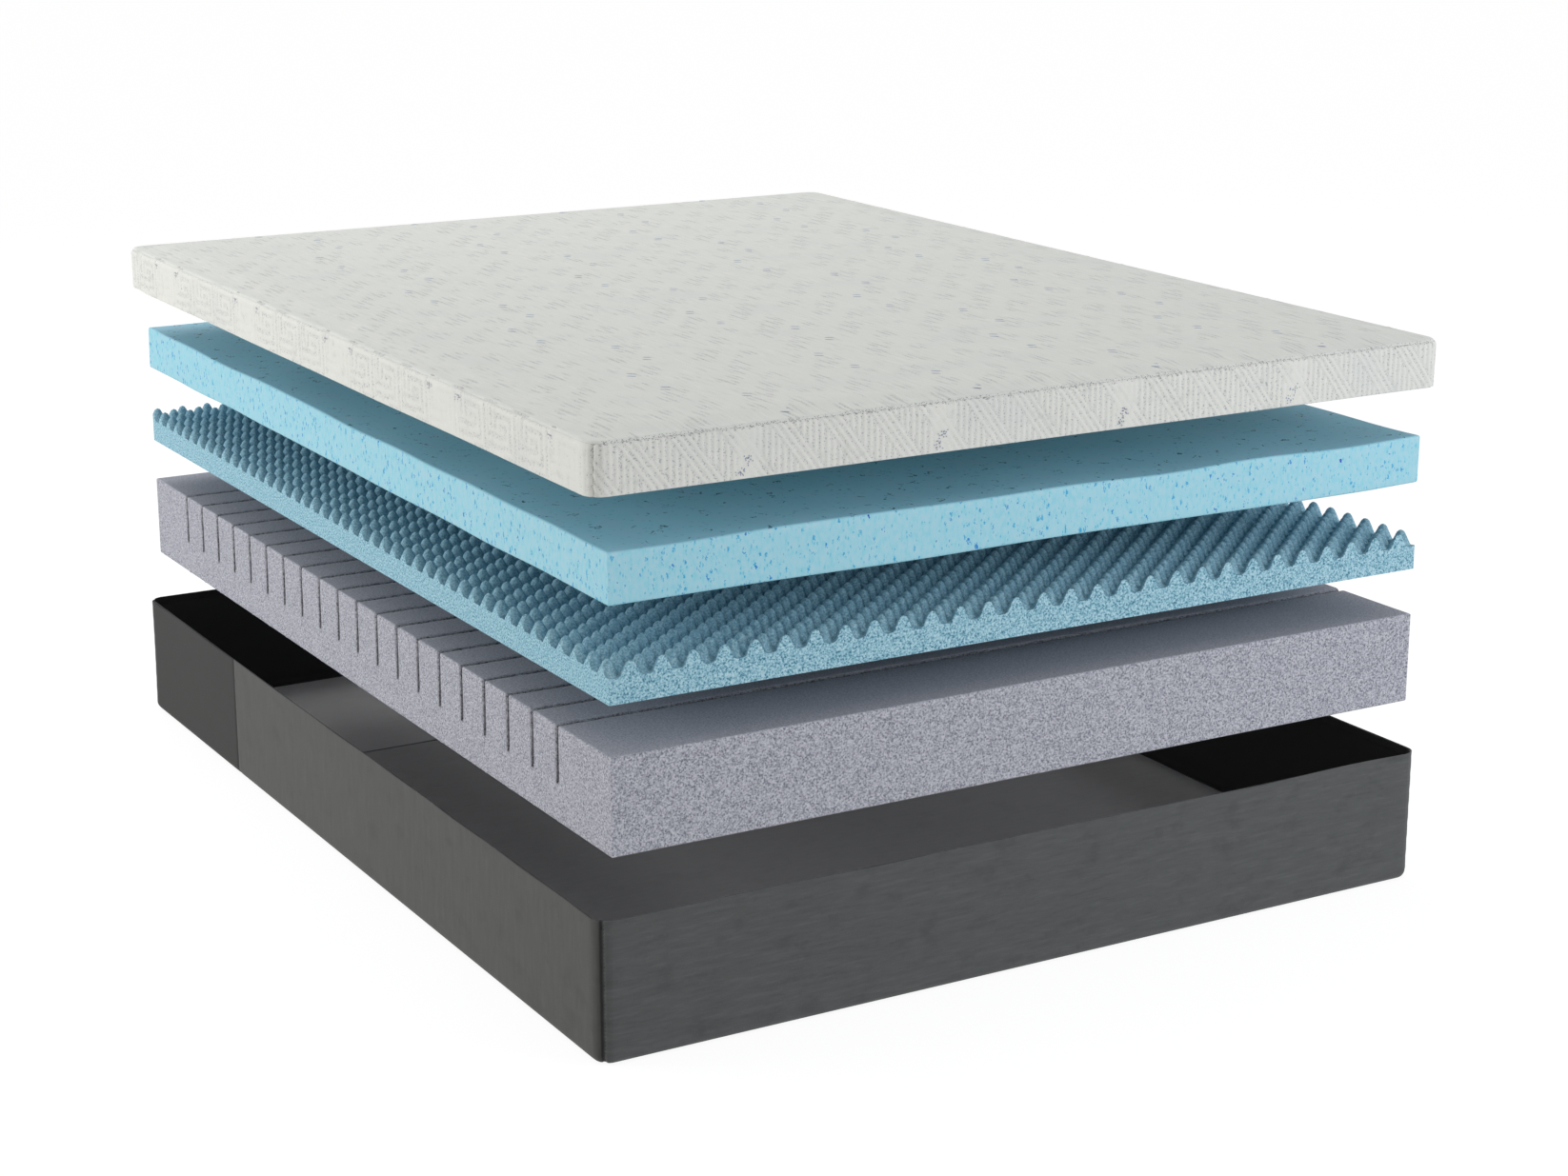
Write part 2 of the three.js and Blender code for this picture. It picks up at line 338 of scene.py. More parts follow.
def side_total(side):
    straight, arc = side_lengths(side)
    return straight + 2 * arc


def seam_distance(side):
    """How far along a long side, anticlockwise, the cross seam lies."""
    arc = side_lengths(side)[1]
    from_foot = arc + CROSS_SEAM_Y + HALF_LENGTH - CORNER_RADIUS
    return from_foot if side == RIGHT else side_total(side) - from_foot


def outline(side, along):
    """Corner centres and outward directions at distances along a side, anticlockwise."""
    straight, arc = side_lengths(side)
    before = side - math.pi / 4
    start = np.array(
        [
            math.copysign(HALF_WIDTH - CORNER_RADIUS, math.cos(before)),
            math.copysign(HALF_LENGTH - CORNER_RADIUS, math.sin(before)),
        ]
    )
    tangent = np.array([-math.sin(side), math.cos(side)])
    on_straight = np.clip(along - arc, 0, straight)
    turned = np.clip(along, 0, arc) + np.clip(along - arc - straight, 0, arc)
    angle = before + turned / CORNER_RADIUS
    centres = start + on_straight[:, None] * tangent
    return centres, np.stack([np.cos(angle), np.sin(angle)], axis=-1)


def wall_grid(side, along, section, push):
    """Points of a wall: a section of (inset, z, outward, upward) rows carried along a side.

    push moves each point along the wall's own outward direction.
    """
    centres, directions = outline(side, along)
    inset, z, outward, upward = section
    reach = CORNER_RADIUS - inset[None, :] + push * outward[None, :]
    flat = centres[:, None, :] + directions[:, None, :] * reach[:, :, None]
    return lifted(flat, z[None, :] + push * upward[None, :])


def tray_section():
    """From the flat bottom, round the turn and up to the rim."""
    turn = spaced(0, math.pi / 2, math.pi / 16)
    radius = TRAY_BOTTOM_RADIUS
    straight = crowded(radius, TRAY_RIM, 10 * MM, 0.5 * MM, 2 * MM)[1:]
    inset = np.concatenate([radius * (1 - np.sin(turn)), np.zeros(len(straight))])
    z = np.concatenate([radius * (1 - np.cos(turn)), straight])
    outward = np.concatenate([np.sin(turn), np.ones(len(straight))])
    upward = np.concatenate([-np.cos(turn), np.zeros(len(straight))])
    return inset, z, outward, upward


def band_section():
    """From the cap's hem up and over the roll, as far as the seam with the top panel."""
    radius = CAP_ROLL_RADIUS
    turn = spaced(0, CAP_ROLL_ANGLE, CAP_ROLL_ANGLE / 6)
    straight = crowded(CAP_HEM, CAP_TOP - radius, CAP_STEP, 0.7 * MM, 2.1 * MM)[:-1]
    inset = np.concatenate([np.zeros(len(straight)), radius * (1 - np.cos(turn))])
    z = np.concatenate([straight, CAP_TOP - radius + radius * np.sin(turn)])
    outward = np.concatenate([np.ones(len(straight)), np.cos(turn)])
    upward = np.concatenate([np.zeros(len(straight)), np.sin(turn)])
    return inset, z, outward, upward


def edge_rounding(distance, thickness):
    """How much a cut or folded edge is drawn in, near its end."""
    half = thickness / 2
    depth = np.clip(half - distance, 0, half)
    return half - np.sqrt(half * half - depth * depth)


def seam_pull(distance, depth, width):
    """How far a seam draws the cloth in."""
    return depth * np.exp(-((distance / width) ** 2))


def seam_shade(distance, depth):
    """0 in a seam and 1 away from it, for painted shade: how deep a seam is sets how wide its
    painted shade is.
    """
    return 1 - np.exp(-((distance / (1.1 * depth)) ** 2))


# ---- Materials ----

def tone(red, green, blue):
    """A colour given as 0 to 255 on screen, as linear light."""
    parts = [c / 255 for c in (red, green, blue)]
    linear = [c / 12.92 if c <= 0.04045 else ((c + 0.055) / 1.055) ** 2.4 for c in parts]
    return (*linear, 1.0)


def grey(shade):
    return tone(shade, shade, shade)


class Look:
    """One procedural material, built up by blending colours and adding relief."""

    def __init__(self, name, colour, roughness, sheen=0.0, metallic=0.0):
        self.material = bpy.data.materials.new(name)
        self.material.use_nodes = True
        self.tree = self.material.node_tree
        self.shader = self.tree.nodes["Principled BSDF"]
        self.shader.inputs["Base Color"].default_value = colour
        self.shader.inputs["Roughness"].default_value = roughness
        self.shader.inputs["Metallic"].default_value = metallic
        self.shader.inputs["Sheen Weight"].default_value = sheen
        self.colour = colour
        self.place = self.add("ShaderNodeTexCoord").outputs["Object"]

    def add(self, kind, **settings):
        node = self.tree.nodes.new(kind)
        for key, value in settings.items():
            setattr(node, key, value)
        return node

    def feed(self, socket, value):
        if isinstance(value, bpy.types.NodeSocket):
            self.tree.links.new(value, socket)
        else:
            socket.default_value = value

    def operate(self, kind, operation, first, second):
        node = self.add(kind, operation=operation)
        self.feed(node.inputs[0], first)
        self.feed(node.inputs[1], second)
        return node.outputs[0]

    def stretched(self, cell, parts=1):
        """Object coordinates in cells, of one size or one along each axis, or in parts of them."""
        sizes = np.broadcast_to(cell, 3) / parts
        return self.operate("ShaderNodeVectorMath", "DIVIDE", self.place, tuple(sizes))

    def noise(self, cell, detail=2.0, roughness=0.5):
        """Noise whose features are about one cell across."""
        node = self.add("ShaderNodeTexNoise")
        self.feed(node.inputs["Vector"], self.stretched(cell))
        for socket, value in (("Scale", 1.0), ("Detail", detail), ("Roughness", roughness)):
            self.feed(node.inputs[socket], value)
        return node.outputs[0]

    def ranged(self, value, low, high, smallest=0.0, largest=1.0):
        node = self.add("ShaderNodeMapRange", interpolation_type="SMOOTHSTEP")
        for socket, given in zip(node.inputs, (value, low, high, smallest, largest)):
            self.feed(socket, given)
        return node.outputs[0]

    def attribute(self, name):
        return self.add("ShaderNodeAttribute", attribute_name=name).outputs["Fac"]

    def times(self, first, second):
        return self.operate("ShaderNodeMath", "MULTIPLY", first, second)

    def flecks(self, cell, size, share, dimensions="3D"):
        """Scattered blots: in a share of the cells, one blot with a radius given in cells."""
        warp = self.add("ShaderNodeVectorMath", operation="ADD")
        jitter = self.add("ShaderNodeTexNoise")
        self.feed(jitter.inputs["Vector"], self.stretched(cell, 4))
        self.feed(jitter.inputs["Scale"], 1.0)
        self.feed(warp.inputs[0], self.stretched(cell))
        self.feed(warp.inputs[1], jitter.outputs[1])
        blots = self.add("ShaderNodeTexVoronoi", voronoi_dimensions=dimensions)
        self.feed(blots.inputs["Vector"], warp.outputs[0])
        self.feed(blots.inputs["Scale"], 1.0)
        red = self.add("ShaderNodeSeparateColor")
        self.feed(red.inputs[0], blots.outputs["Color"])
        near = self.ranged(blots.outputs["Distance"], size, size * 0.45)
        chosen = self.ranged(red.outputs[0], 1 - share, 1.02 - share)
        return self.times(near, chosen)

    def stain(self, value, low, high, amount, colour):
        """Blends in an amount of another colour as a value goes from low to high."""
        self.blend(self.ranged(value, low, high, 0.0, amount), colour)

    def blend(self, factor, colour):
        """Blends the colour so far with another where the factor rises to 1."""
        node = self.add("ShaderNodeMix", data_type="RGBA")
        self.feed(node.inputs[0], factor)
        self.feed(node.inputs[6], self.colour)
        self.feed(node.inputs[7], colour)
        self.colour = node.outputs[2]
        self.feed(self.shader.inputs["Base Color"], self.colour)

    def relief(self, height, depth, strength=1.0):
        """Adds surface relief of a depth in metres."""
        node = self.add("ShaderNodeBump")
        self.feed(node.inputs["Strength"], strength)
        self.feed(node.inputs["Distance"], depth)
        self.feed(node.inputs["Height"], height)
        links = self.shader.inputs["Normal"].links
        if links:
            self.feed(node.inputs["Normal"], links[0].from_socket)
        self.feed(self.shader.inputs["Normal"], node.outputs[0])


def brushed_fabric(name, base, light, dark, streak, seams=True):
    """Brushed polyester: fine nap, cloudy patches, streaks along the cloth's grain, and painted
    shade along its seams.
    """
    look = Look(name, base, roughness=0.88, sheen=0.2)
    streaks = look.noise(streak, detail=4.0, roughness=0.65)
    look.stain(streaks, 0.45, 0.85, 0.55, light)
    look.stain(streaks, 0.5, 0.15, 0.6, dark)
    clouds = look.noise((60 * MM, 60 * MM, 40 * MM), detail=4.0, roughness=0.6)
    look.stain(clouds, 0.5, 0.75, 0.5, dark)
    nap = look.noise(1.2 * MM)
    look.stain(nap, 0.5, 0.8, 0.4, light)
    if seams:
        # Painted shade: the cloth darkens to near black along its seams
        look.stain(look.attribute("painted_shade"), 0.9, 0.2, 0.85, grey(30))
    look.relief(nap, 0.4 * MM, 0.5)
    look.relief(streaks, 0.6 * MM, 0.35)
    return look.material


def inner_wall_shade():
    """Painted shade on the inside of the borders: near-black cloth that stands in for the unlit
    inner walls.
    """
    look = Look("inner_wall_painted_shade", tone(35, 35, 36), roughness=0.8, sheen=0.05)
    nap = look.noise(1.5 * MM)
    look.stain(nap, 0.4, 0.8, 0.4, tone(48, 48, 49))
    look.relief(nap, 0.3 * MM, 0.4)
    return look.material


def knit(name, base, streak, groove_shade, yarn_shade):
    """Off-white jacquard knit: loops, faint stains of the yarn, and painted shade in the grooves
    between ridges and in pinholes there.
    """
    look = Look(name, base, roughness=0.85, sheen=0.15)
    # Painted shade: the grooves between the knitted ridges are darkened
    groove = look.ranged(look.attribute("painted_shade"), 0.85, 0.1)
    look.blend(look.times(groove, groove_shade), tone(170, 174, 175))
    yarn = look.noise(streak, detail=3.0, roughness=0.6)
    look.stain(yarn, 0.54, 0.76, yarn_shade, tone(200, 203, 198))
    look.stain(yarn, 0.46, 0.24, yarn_shade, tone(246, 246, 241))
    clouds = look.noise((160 * MM, 130 * MM, 160 * MM))
    look.stain(clouds, 0.5, 0.75, 0.35, tone(218, 222, 220))
    loops = look.noise(1.6 * MM, detail=1.0)
    look.stain(loops, 0.6, 0.75, 0.3, tone(182, 184, 186))
    # Painted shade: dark pinholes in the grooves
    holes = look.ranged(look.noise(2.6 * MM, detail=0.0), 0.62, 0.7)
    look.blend(look.times(holes, look.times(groove, 0.6)), tone(140, 143, 152))
    look.relief(loops, 0.5 * MM, 0.5)
    look.relief(yarn, 0.8 * MM, 0.5)
    return look.material


def open_foam(name, base, light, dark, pore=3.4 * MM, contrast=1.0):
    """Cut polyurethane foam: pores and cell walls as light and dark speckle."""
    look = Look(name, base, roughness=0.95)
    grain = look.noise(pore, roughness=0.6)
    look.stain(look.noise(3 * pore, detail=1.0), 0.35, 0.7, 0.3 * contrast, light)
    look.stain(grain, 0.52, 0.62, contrast, light)
    look.stain(grain, 0.47, 0.36, contrast, dark)
    look.relief(grain, 1.0 * MM, 0.7 * contrast)
    return look.material


def gel_foam(name, base, cloud, stains, flecks, skin_depth):
    """Gel foam: cloudy stains, flecks of gel and a fine skin.

    stains holds rows of (low, high, amount, colour), and flecks rows of
    (cell size, radius in cells, share of the cells, colour, dimensions).
    """
    look = Look(name, base, roughness=0.6)
    clouds = look.noise(cloud, detail=3.0)
    for low, high, amount, colour in stains:
        look.stain(clouds, low, high, amount, colour)
    for cell, radius, share, colour, dimensions in flecks:
        look.blend(look.flecks(cell, radius, share, dimensions), colour)
    look.relief(look.noise(3 * MM), 0.3 * MM, skin_depth)
    return look.material


def gel_cut_face():
    """A cut side of the gel foam: pale blue with upright azure and deep blue gel flecks."""
    stains = (
        (0.45, 0.68, 0.8, tone(180, 222, 235)),
        (0.5, 0.32, 0.6, tone(142, 216, 232)),
    )
    flecks = (
        ((4.5 * MM, 4.5 * MM, 8 * MM), 0.42, 0.26, tone(100, 196, 226), "3D"),
        ((9 * MM, 9 * MM, 16 * MM), 0.32, 0.32, tone(52, 172, 222), "3D"),
        ((15 * MM, 15 * MM, 24 * MM), 0.2, 0.38, tone(16, 134, 216), "3D"),
        ((34 * MM, 34 * MM, 60 * MM), 0.09, 0.45, tone(4, 58, 196), "3D"),
    )
    cloud = (7 * MM, 7 * MM, 13 * MM)
    return gel_foam("gel_foam_side", tone(164, 221, 236), cloud, stains, flecks, 0.4)


def gel_moulded_face():
    """The gel foam's top and bottom: a smooth skin with small dark flecks here and there."""
    stains = ((0.45, 0.75, 0.6, tone(174, 218, 242)),)
    flecks = (
        (12 * MM, 0.26, 0.25, tone(134, 200, 226), "2D"),
        (30 * MM, 0.08, 0.3, tone(80, 160, 206), "2D"),
        (48 * MM, 0.085, 0.8, tone(24, 66, 100), "2D"),
    )
    cloud = (30 * MM, 60 * MM, 50 * MM)
    return gel_foam("gel_foam_skin", tone(158, 220, 242), cloud, stains, flecks, 0.3)


def plain_thread(name, colour):
    look = Look(name, colour, roughness=0.7, sheen=0.1)
    look.relief(look.noise(0.7 * MM, detail=1.0), 0.2 * MM, 0.6)
    return look.material


def zip_metal():
    """Dark plated zip hardware, a little worn."""
    look = Look("zip_metal", tone(88, 89, 92), roughness=0.32, metallic=1.0)
    wear = look.noise(4 * MM, detail=4.0, roughness=0.7)
    look.stain(wear, 0.55, 0.75, 0.5, tone(128, 128, 130))
    look.relief(wear, 0.05 * MM, 0.5)
    return look.material


def stage_white():
    """The floor: nearly self-lit white, so that only a soft shadow shows under the bed."""
    material = bpy.data.materials.new("pale_floor")
    material.use_nodes = True
    tree = material.node_tree
    shader = tree.nodes["Principled BSDF"]
    shader.inputs["Base Color"].default_value = (0.18, 0.18, 0.18, 1)
    shader.inputs["Roughness"].default_value = 1.0
    shader.inputs["Specular IOR Level"].default_value = 0.0
    shader.inputs["Emission Color"].default_value = (1, 1, 1, 1)
    glow = camera_or_light(tree, 0.9, 0.38)
    tree.links.new(glow, shader.inputs["Emission Strength"])
    return material


def camera_or_light(tree, seen, cast):
    """A strength that the camera sees as one value and that lights the bed as another."""
    path = tree.nodes.new("ShaderNodeLightPath")
    strength = tree.nodes.new("ShaderNodeMapRange")
    strength.inputs["To Min"].default_value = cast
    strength.inputs["To Max"].default_value = seen
    tree.links.new(path.outputs["Is Camera Ray"], strength.inputs["Value"])
    return strength.outputs[0]


FABRIC = (tone(82, 84, 84), tone(103, 105, 106), tone(62, 64, 65))
SIDE_FABRIC = (tone(76, 76, 74), tone(92, 92, 89), tone(62, 62, 60))
# Painted light: the floor panels are the same dark grey cloth as the borders, painted much lighter
# to stand in for light inside the tray; the head panel is lighter still, as more light falls there
LIT_FLOOR_FABRIC = (grey(186), grey(200), grey(172))
LIT_HEAD_FLOOR_FABRIC = (grey(210), grey(222), grey(198))
# Painted shade: the head end's borders are this darker copy of the same grey fabric, standing in
# for the shade that falls on them
SHADED_FABRIC = (tone(29, 29, 27), tone(38, 38, 36), tone(22, 22, 21))
SUPPORT_FOAM = (tone(170, 171, 181), tone(210, 210, 218), tone(108, 110, 122))
# Painted shade: a darker copy of the support foam for the slits' walls and lips
SLIT_SHADED_FOAM = (tone(142, 142, 149), tone(176, 176, 182), tone(92, 92, 98))
CONVOLUTED_FOAM = (tone(144, 194, 212), tone(194, 228, 238), tone(66, 126, 150))
# Painted shade: the convoluted top, under the gel foam, is a darker copy of the same foam
SHADED_CONVOLUTED_TOP = (tone(132, 177, 195), tone(182, 214, 224), tone(80, 126, 146))
# Painted light: the bands' knit is a slightly lighter copy of the top's, as more light falls on
# the sides
TOP_KNIT = tone(231, 233, 227)
LIT_SIDE_KNIT = tone(236, 236, 229)
TAPE_FABRIC = (tone(24, 24, 25), tone(36, 36, 37), tone(15, 15, 16))

THREADS = {
    "dark_thread": grey(48),
    "seam_thread": tone(146, 146, 148),
    "pale_thread": tone(196, 196, 194),
    "white_thread": tone(214, 214, 208),
    "mark_thread": tone(144, 156, 184),
    "faint_thread": tone(182, 187, 204),
}

# Sizes of the streaks in a cloth along X, Y and Z
ALONG_X = (50 * MM, 50 * MM, 6 * MM)
UPRIGHT = (12 * MM, 12 * MM, 60 * MM)
ACROSS_FLOOR = (50 * MM, 9 * MM, 50 * MM)
ALONG_TAPE = (20 * MM, 20 * MM, 1 * MM)
ALONG_BED = (6 * MM, 80 * MM, 80 * MM)

LOOKS = {
    "fabric_foot": brushed_fabric("base_fabric_foot", *FABRIC, ALONG_X),
    "fabric_side": brushed_fabric("base_fabric_side", *SIDE_FABRIC, UPRIGHT),
    # Painted light: lit copies of the border fabric for the tray's floor
    "floor_main": brushed_fabric("lit_floor_fabric_main", *LIT_FLOOR_FABRIC, ACROSS_FLOOR),
    "floor_head": brushed_fabric("lit_floor_fabric_head", *LIT_HEAD_FLOOR_FABRIC, ACROSS_FLOOR),
    # Painted shade: darker copies of the border fabric for the head end
    "shaded_side": brushed_fabric("shaded_fabric_side", *SHADED_FABRIC, UPRIGHT),
    "shaded_head": brushed_fabric("shaded_fabric_head", *SHADED_FABRIC, ALONG_X),
    # Painted shade for the inner walls of the tray
    "inner_wall_shade": inner_wall_shade(),
    "knit_top": knit("knit_top", TOP_KNIT, ALONG_BED, 0.34, 0.6),
    "knit_end": knit("knit_end", LIT_SIDE_KNIT, 20 * MM, 0.18, 0.4),
    "knit_side": knit("knit_side", LIT_SIDE_KNIT, 20 * MM, 0.1, 0.4),
    "support": open_foam("support_foam_side", *SUPPORT_FOAM, 2.9 * MM, 0.85),
    "support_top": open_foam("support_foam_top", *SUPPORT_FOAM, 2.9 * MM, 0.45),
    # Painted shade inside the support foam's slits
    "slit": open_foam("slit_painted_shade", *SLIT_SHADED_FOAM),
    "convoluted": open_foam("convoluted_foam_side", *CONVOLUTED_FOAM, 3 * MM, 0.95),
    # Painted shade on the convoluted foam's top
    "convoluted_top": open_foam("shaded_convoluted_foam_top", *SHADED_CONVOLUTED_TOP, 3 * MM, 0.6),
    "gel_side": gel_cut_face(),
    "gel_skin": gel_moulded_face(),
    **{name: plain_thread(name, colour) for name, colour in THREADS.items()},
    "tape": brushed_fabric("zip_tape", *TAPE_FABRIC, ALONG_TAPE, seams=False),
    "label": plain_thread("label_satin", tone(236, 236, 230)),
    "zip_metal": zip_metal(),
}


# ---- Tray ----

def hem_reach(points):
    """How far a hem reaches past its nominal edge, except at the head, where the slider runs."""
    return HEM_REACH * eased((HALF_LENGTH - points[..., 1]) / SLIDER_REACH - 1)


def tray_wave(side, points):
    """Slow inward and outward waves of a tray wall, which die out under the zip slider."""
    height = np.clip(points[..., 2] / TRAY_RIM, 0, 1)
    wave = 1.1 * MM * (ripple(points, 0.5, 11) - 0.6) * height
    if side == HEAD:
        wave = wave * eased((TRAY_RIM - points[..., 2]) / SLIDER_REACH - 0.5)
    return wave


def tray_push(side, along, start, end, section, start_seam, end_seam):
    """How far each point of a tray wall stands out: waves, seams and puckers beside them."""
    z = section[1]
    push = tray_wave(side, wall_grid(side, along, section, np.zeros((len(along), len(z)))))
    for distance, depth in ((along - start, start_seam), (end - along, end_seam)):
        beside = np.exp(-distance / PUCKER_REACH)[:, None]
        pucker = 0.16 * depth * np.cos(TAU * z[None, :] / PUCKER_PITCH)
        push = push + pucker * beside - seam_pull(distance, depth, CORNER_SEAM_WIDTH)[:, None]
    return push


def add_border(name, side, look, slot, start=None, end=None):
    """One border of a side, from its start to its end along it: a corner, or the cross seam."""
    start_seam = CORNER_SEAM if start is None else CROSS_SEAM
    end_seam = CORNER_SEAM if end is None else CROSS_SEAM
    start = (start or 0.0) + SEAM_GAP / 2
    end = (end or side_total(side)) - SEAM_GAP / 2
    along = crowded(start, end, TRAY_STEP, TRAY_STEP_FINE, 2 * TRAY_STEP)
    section = tray_section()
    push = tray_push(side, along, start, end, section, start_seam, end_seam)
    # Painted shade beside the seams at both ends of the border
    shade = seam_shade(along - start, start_seam) * seam_shade(end - along, end_seam)
    shade = shade[:, None] + 0 * section[1][None, :]
    rounding = edge_rounding(TRAY_RIM - section[1], TRAY_FABRIC)[None, :]
    outer = wall_grid(side, along, section, push - rounding)
    inner = wall_grid(side, along, section, push + rounding - TRAY_FABRIC)
    hem = 0.8 * MM * (ripple(outer[:, -1:, :2], 0.3, 5) - 1) + hem_reach(outer[:, -1:])
    share = eased(section[1] / TRAY_RIM)[None, :]
    outer[..., 2] += hem * share
    inner[..., 2] += hem * share
    skin = closed_skin(outer, inner, every=INNER_WALL_EVERY)
    piece = stand_in(name, "bottom_cover", slot, skin, [look, "inner_wall_shade"], ridges=shade)
    # The inner face of the wall takes the near-black painted shade
    shade_inside(piece, len(along), len(section[1]))


def shade_inside(piece, rows, columns):
    """Gives the back of a wall its painted shade, near black."""
    front = (rows - 1) * (columns - 1)
    back_rows, back_columns = (len(thinned(n, INNER_WALL_EVERY)) for n in (rows, columns))
    back = (back_rows - 1) * (back_columns - 1)
    for face in piece.data.polygons[front : front + back]:
        face.material_index = 1


def rounded_corners(points, half_width, half_length, radius):
    """Draws the corners of a flat grid onto arcs."""
    centre = np.array([half_width - radius, half_length - radius])
    beyond = np.abs(points) - centre
    corner = (beyond > 0).all(axis=-1)
    reach = beyond.max(axis=-1)
    length = np.maximum(np.linalg.norm(beyond, axis=-1), 1e-9)
    moved = np.sign(points) * (centre + beyond * (reach / length)[..., None])
    return np.where(corner[..., None], moved, points)


def add_floor_panel(name, look, low_y, high_y):
    """A flat bottom panel between the turned-in borders."""
    margin = TRAY_BOTTOM_RADIUS + SEAM_GAP
    half_width, half_length = HALF_WIDTH - margin, HALF_LENGTH - margin
    xs = crowded(-half_width, half_width, FLOOR_STEP, 4 * MM, 20 * MM)
    low = max(low_y, -half_length)
    high = min(high_y, half_length)
    ys = crowded(low, high, FLOOR_STEP, TRAY_STEP_FINE, 12 * MM)
    flat = rounded_corners(plane(xs, ys), half_width, half_length, CORNER_RADIUS - margin)
    seam = seam_pull(ys - CROSS_SEAM_Y, FLOOR_SEAM, FLOOR_SEAM_WIDTH)[None, :]
    wave = np.minimum(0.7 * MM * (ripple(flat, 0.35, 21) - 1), 0) - seam
    skin = closed_skin(lifted(flat, TRAY_FABRIC + wave), lifted(flat, 0), every=4)
    # Painted shade along the floor's cross seam
    shade = seam_shade(ys - CROSS_SEAM_Y, FLOOR_SEAM_WIDTH)[None, :] + 0 * wave
    piece = stand_in(name, "bottom_cover", "base_fabric", skin, [look], ridges=shade)


def add_tray():
    cut_right, cut_left = seam_distance(RIGHT), seam_distance(LEFT)
    # The head end's borders take the painted-shade copy of the fabric
    main, dark = "base_fabric", "base_fabric_dark"
    add_border("border_foot", FOOT, "fabric_foot", main)
    add_border("border_head", HEAD, "shaded_head", dark)
    add_border("border_right_main", RIGHT, "fabric_side", main, end=cut_right)
    add_border("border_right_head", RIGHT, "shaded_side", dark, start=cut_right)
    add_border("border_left_head", LEFT, "shaded_side", dark, end=cut_left)
    add_border("border_left_main", LEFT, "fabric_side", main, start=cut_left)
    # The floor panels take the painted-light copies of the fabric
    add_floor_panel("bottom_panel_main", "floor_main", -HALF_LENGTH, CROSS_SEAM_Y - SEAM_GAP / 2)
    add_floor_panel("bottom_panel_head", "floor_head", CROSS_SEAM_Y + SEAM_GAP / 2, HALF_LENGTH)
    add_corner_stitches()


def add_corner_stitches():
    """Top stitching up each tray corner, beside the seam."""
    pitch, offset = 6 * MM, 4.2 * MM
    heights = np.arange(TRAY_BOTTOM_RADIUS + pitch, TRAY_RIM - pitch, pitch)
    threads = []
    for side in (FOOT, RIGHT, HEAD, LEFT):
        direction = outline(side, np.array([offset]))[1]
        section = tuple(np.full(len(heights), v) for v in (0.0, 0.0, 1.0, 0.0))
        points = wall_grid(side, np.array([offset]), section, np.zeros((1, len(heights))))
        points[..., 2] = heights
        push = tray_wave(side, points)[0] - seam_pull(offset, CORNER_SEAM, CORNER_SEAM_WIDTH)
        points[0, :, :2] += direction * push[:, None]
        threads += [(point, (0, 0, 1), (*direction[0], 0)) for point in points[0]]
    size = (4.2 * MM, 0.9 * MM, 0.9 * MM)
    sew("corner_stitches", "bottom_cover", "base_fabric", threads, size, "dark_thread")


# ---- Foams ----

def rim_loop(grid):
    return np.array([grid[place] for place in rim_places(*grid.shape[:2])])


def eased_levels(low, high, radius):
    """Heights down a block's side, closer together round its eased edges."""
    turn = radius * (1 - np.cos(spaced(0, math.pi / 2, math.pi / 8)))[1:]
    middle = spaced(high - radius, low + radius, SIDE_STEP)[1:-1]
    return [*(high - turn), *middle, *(low + turn[::-1])]


def foam_block(xs, ys, low, high, radius):
    """A block's skin: its top, loops down its sides and its bottom, with eased edges."""
    half = np.array([xs[-1], ys[-1]])

    def level(z):
        depth = max(radius - (z - low), radius - (high - z), 0)
        limit = half - radius + math.sqrt(max(radius * radius - depth * depth, 0))
        grid = lifted(plane(xs, ys), z)
        grid[..., :2] = np.clip(grid[..., :2], -limit, limit)
        return grid

    loops = [rim_loop(level(z)) for z in eased_levels(low, high, radius)]
    return level(high), loops, level(low)


def add_gel_foam():
    low, high = GEL_LOW, GEL_HIGH
    xs = crowded(low.x, high.x, 16 * MM, 1.3 * MM, GEL_EDGE)
    ys = crowded(low.y, high.y, 16 * MM, 1.3 * MM, GEL_EDGE)
    top, loops, bottom = foam_block(xs, ys, low.z, high.z, GEL_EDGE)
    for points in (top, *loops, bottom):
        bend_gel(points, low, high)
    node, looks = "gel_memory_foam", ["gel_skin", "gel_side"]
    piece = stand_in(node, node, "gel_foam", closed_skin(top, bottom, loops), looks)
    give_look(piece, 1, upright)


def bend_gel(points, low, high):
    """Soft foam cut by hand: faces wave inwards from the block's full size."""
    share = (points[..., 2] - low.z) / (high.z - low.z)
    flat = points[..., :2].copy()
    sag = 1.6 * MM * np.maximum(1 + ripple(flat, 0.42, 31), 0)
    lift = 1.1 * MM * np.maximum(1 + ripple(flat, 0.5, 32), 0)
    points[..., 2] += (1 - share) * lift - share * sag
    side = 0.8 * MM * np.maximum(1 + ripple(points, 0.3, 33), 0)
    edge = np.abs(flat) / (high.x, high.y)
    points[..., :2] -= np.sign(flat) * side[..., None] * eased((edge - 0.97) / 0.03)


def peak_height(x, y):
    """Height of the staggered peaks above the valleys."""
    row = y + CONVOLUTED_HIGH.y - PEAK_ROW_INSET
    half_x, half_y = PEAK_PITCH_X / 2, PEAK_PITCH_Y / 2
    nearest = np.minimum(
        np.hypot(wrapped(x, PEAK_PITCH_X), wrapped(row, PEAK_PITCH_Y)),
        np.hypot(wrapped(x - half_x, PEAK_PITCH_X), wrapped(row - half_y, PEAK_PITCH_Y)),
    )
    spread = np.minimum(nearest / PEAK_RADIUS, 1) ** PEAK_ROUNDNESS
    return PEAK_HEIGHT * np.cos(spread * math.pi / 2) ** 2


def on_lattice(low, high, phase, pitch):
    """Grid lines that pass through every peak, with a line on each edge of the block."""
    step = pitch / 10
    first = phase + step * math.ceil((low - phase) / step + 0.3)
    lines = np.arange(first, high - 0.3 * step, step)
    return np.concatenate([[low], lines, [high]])


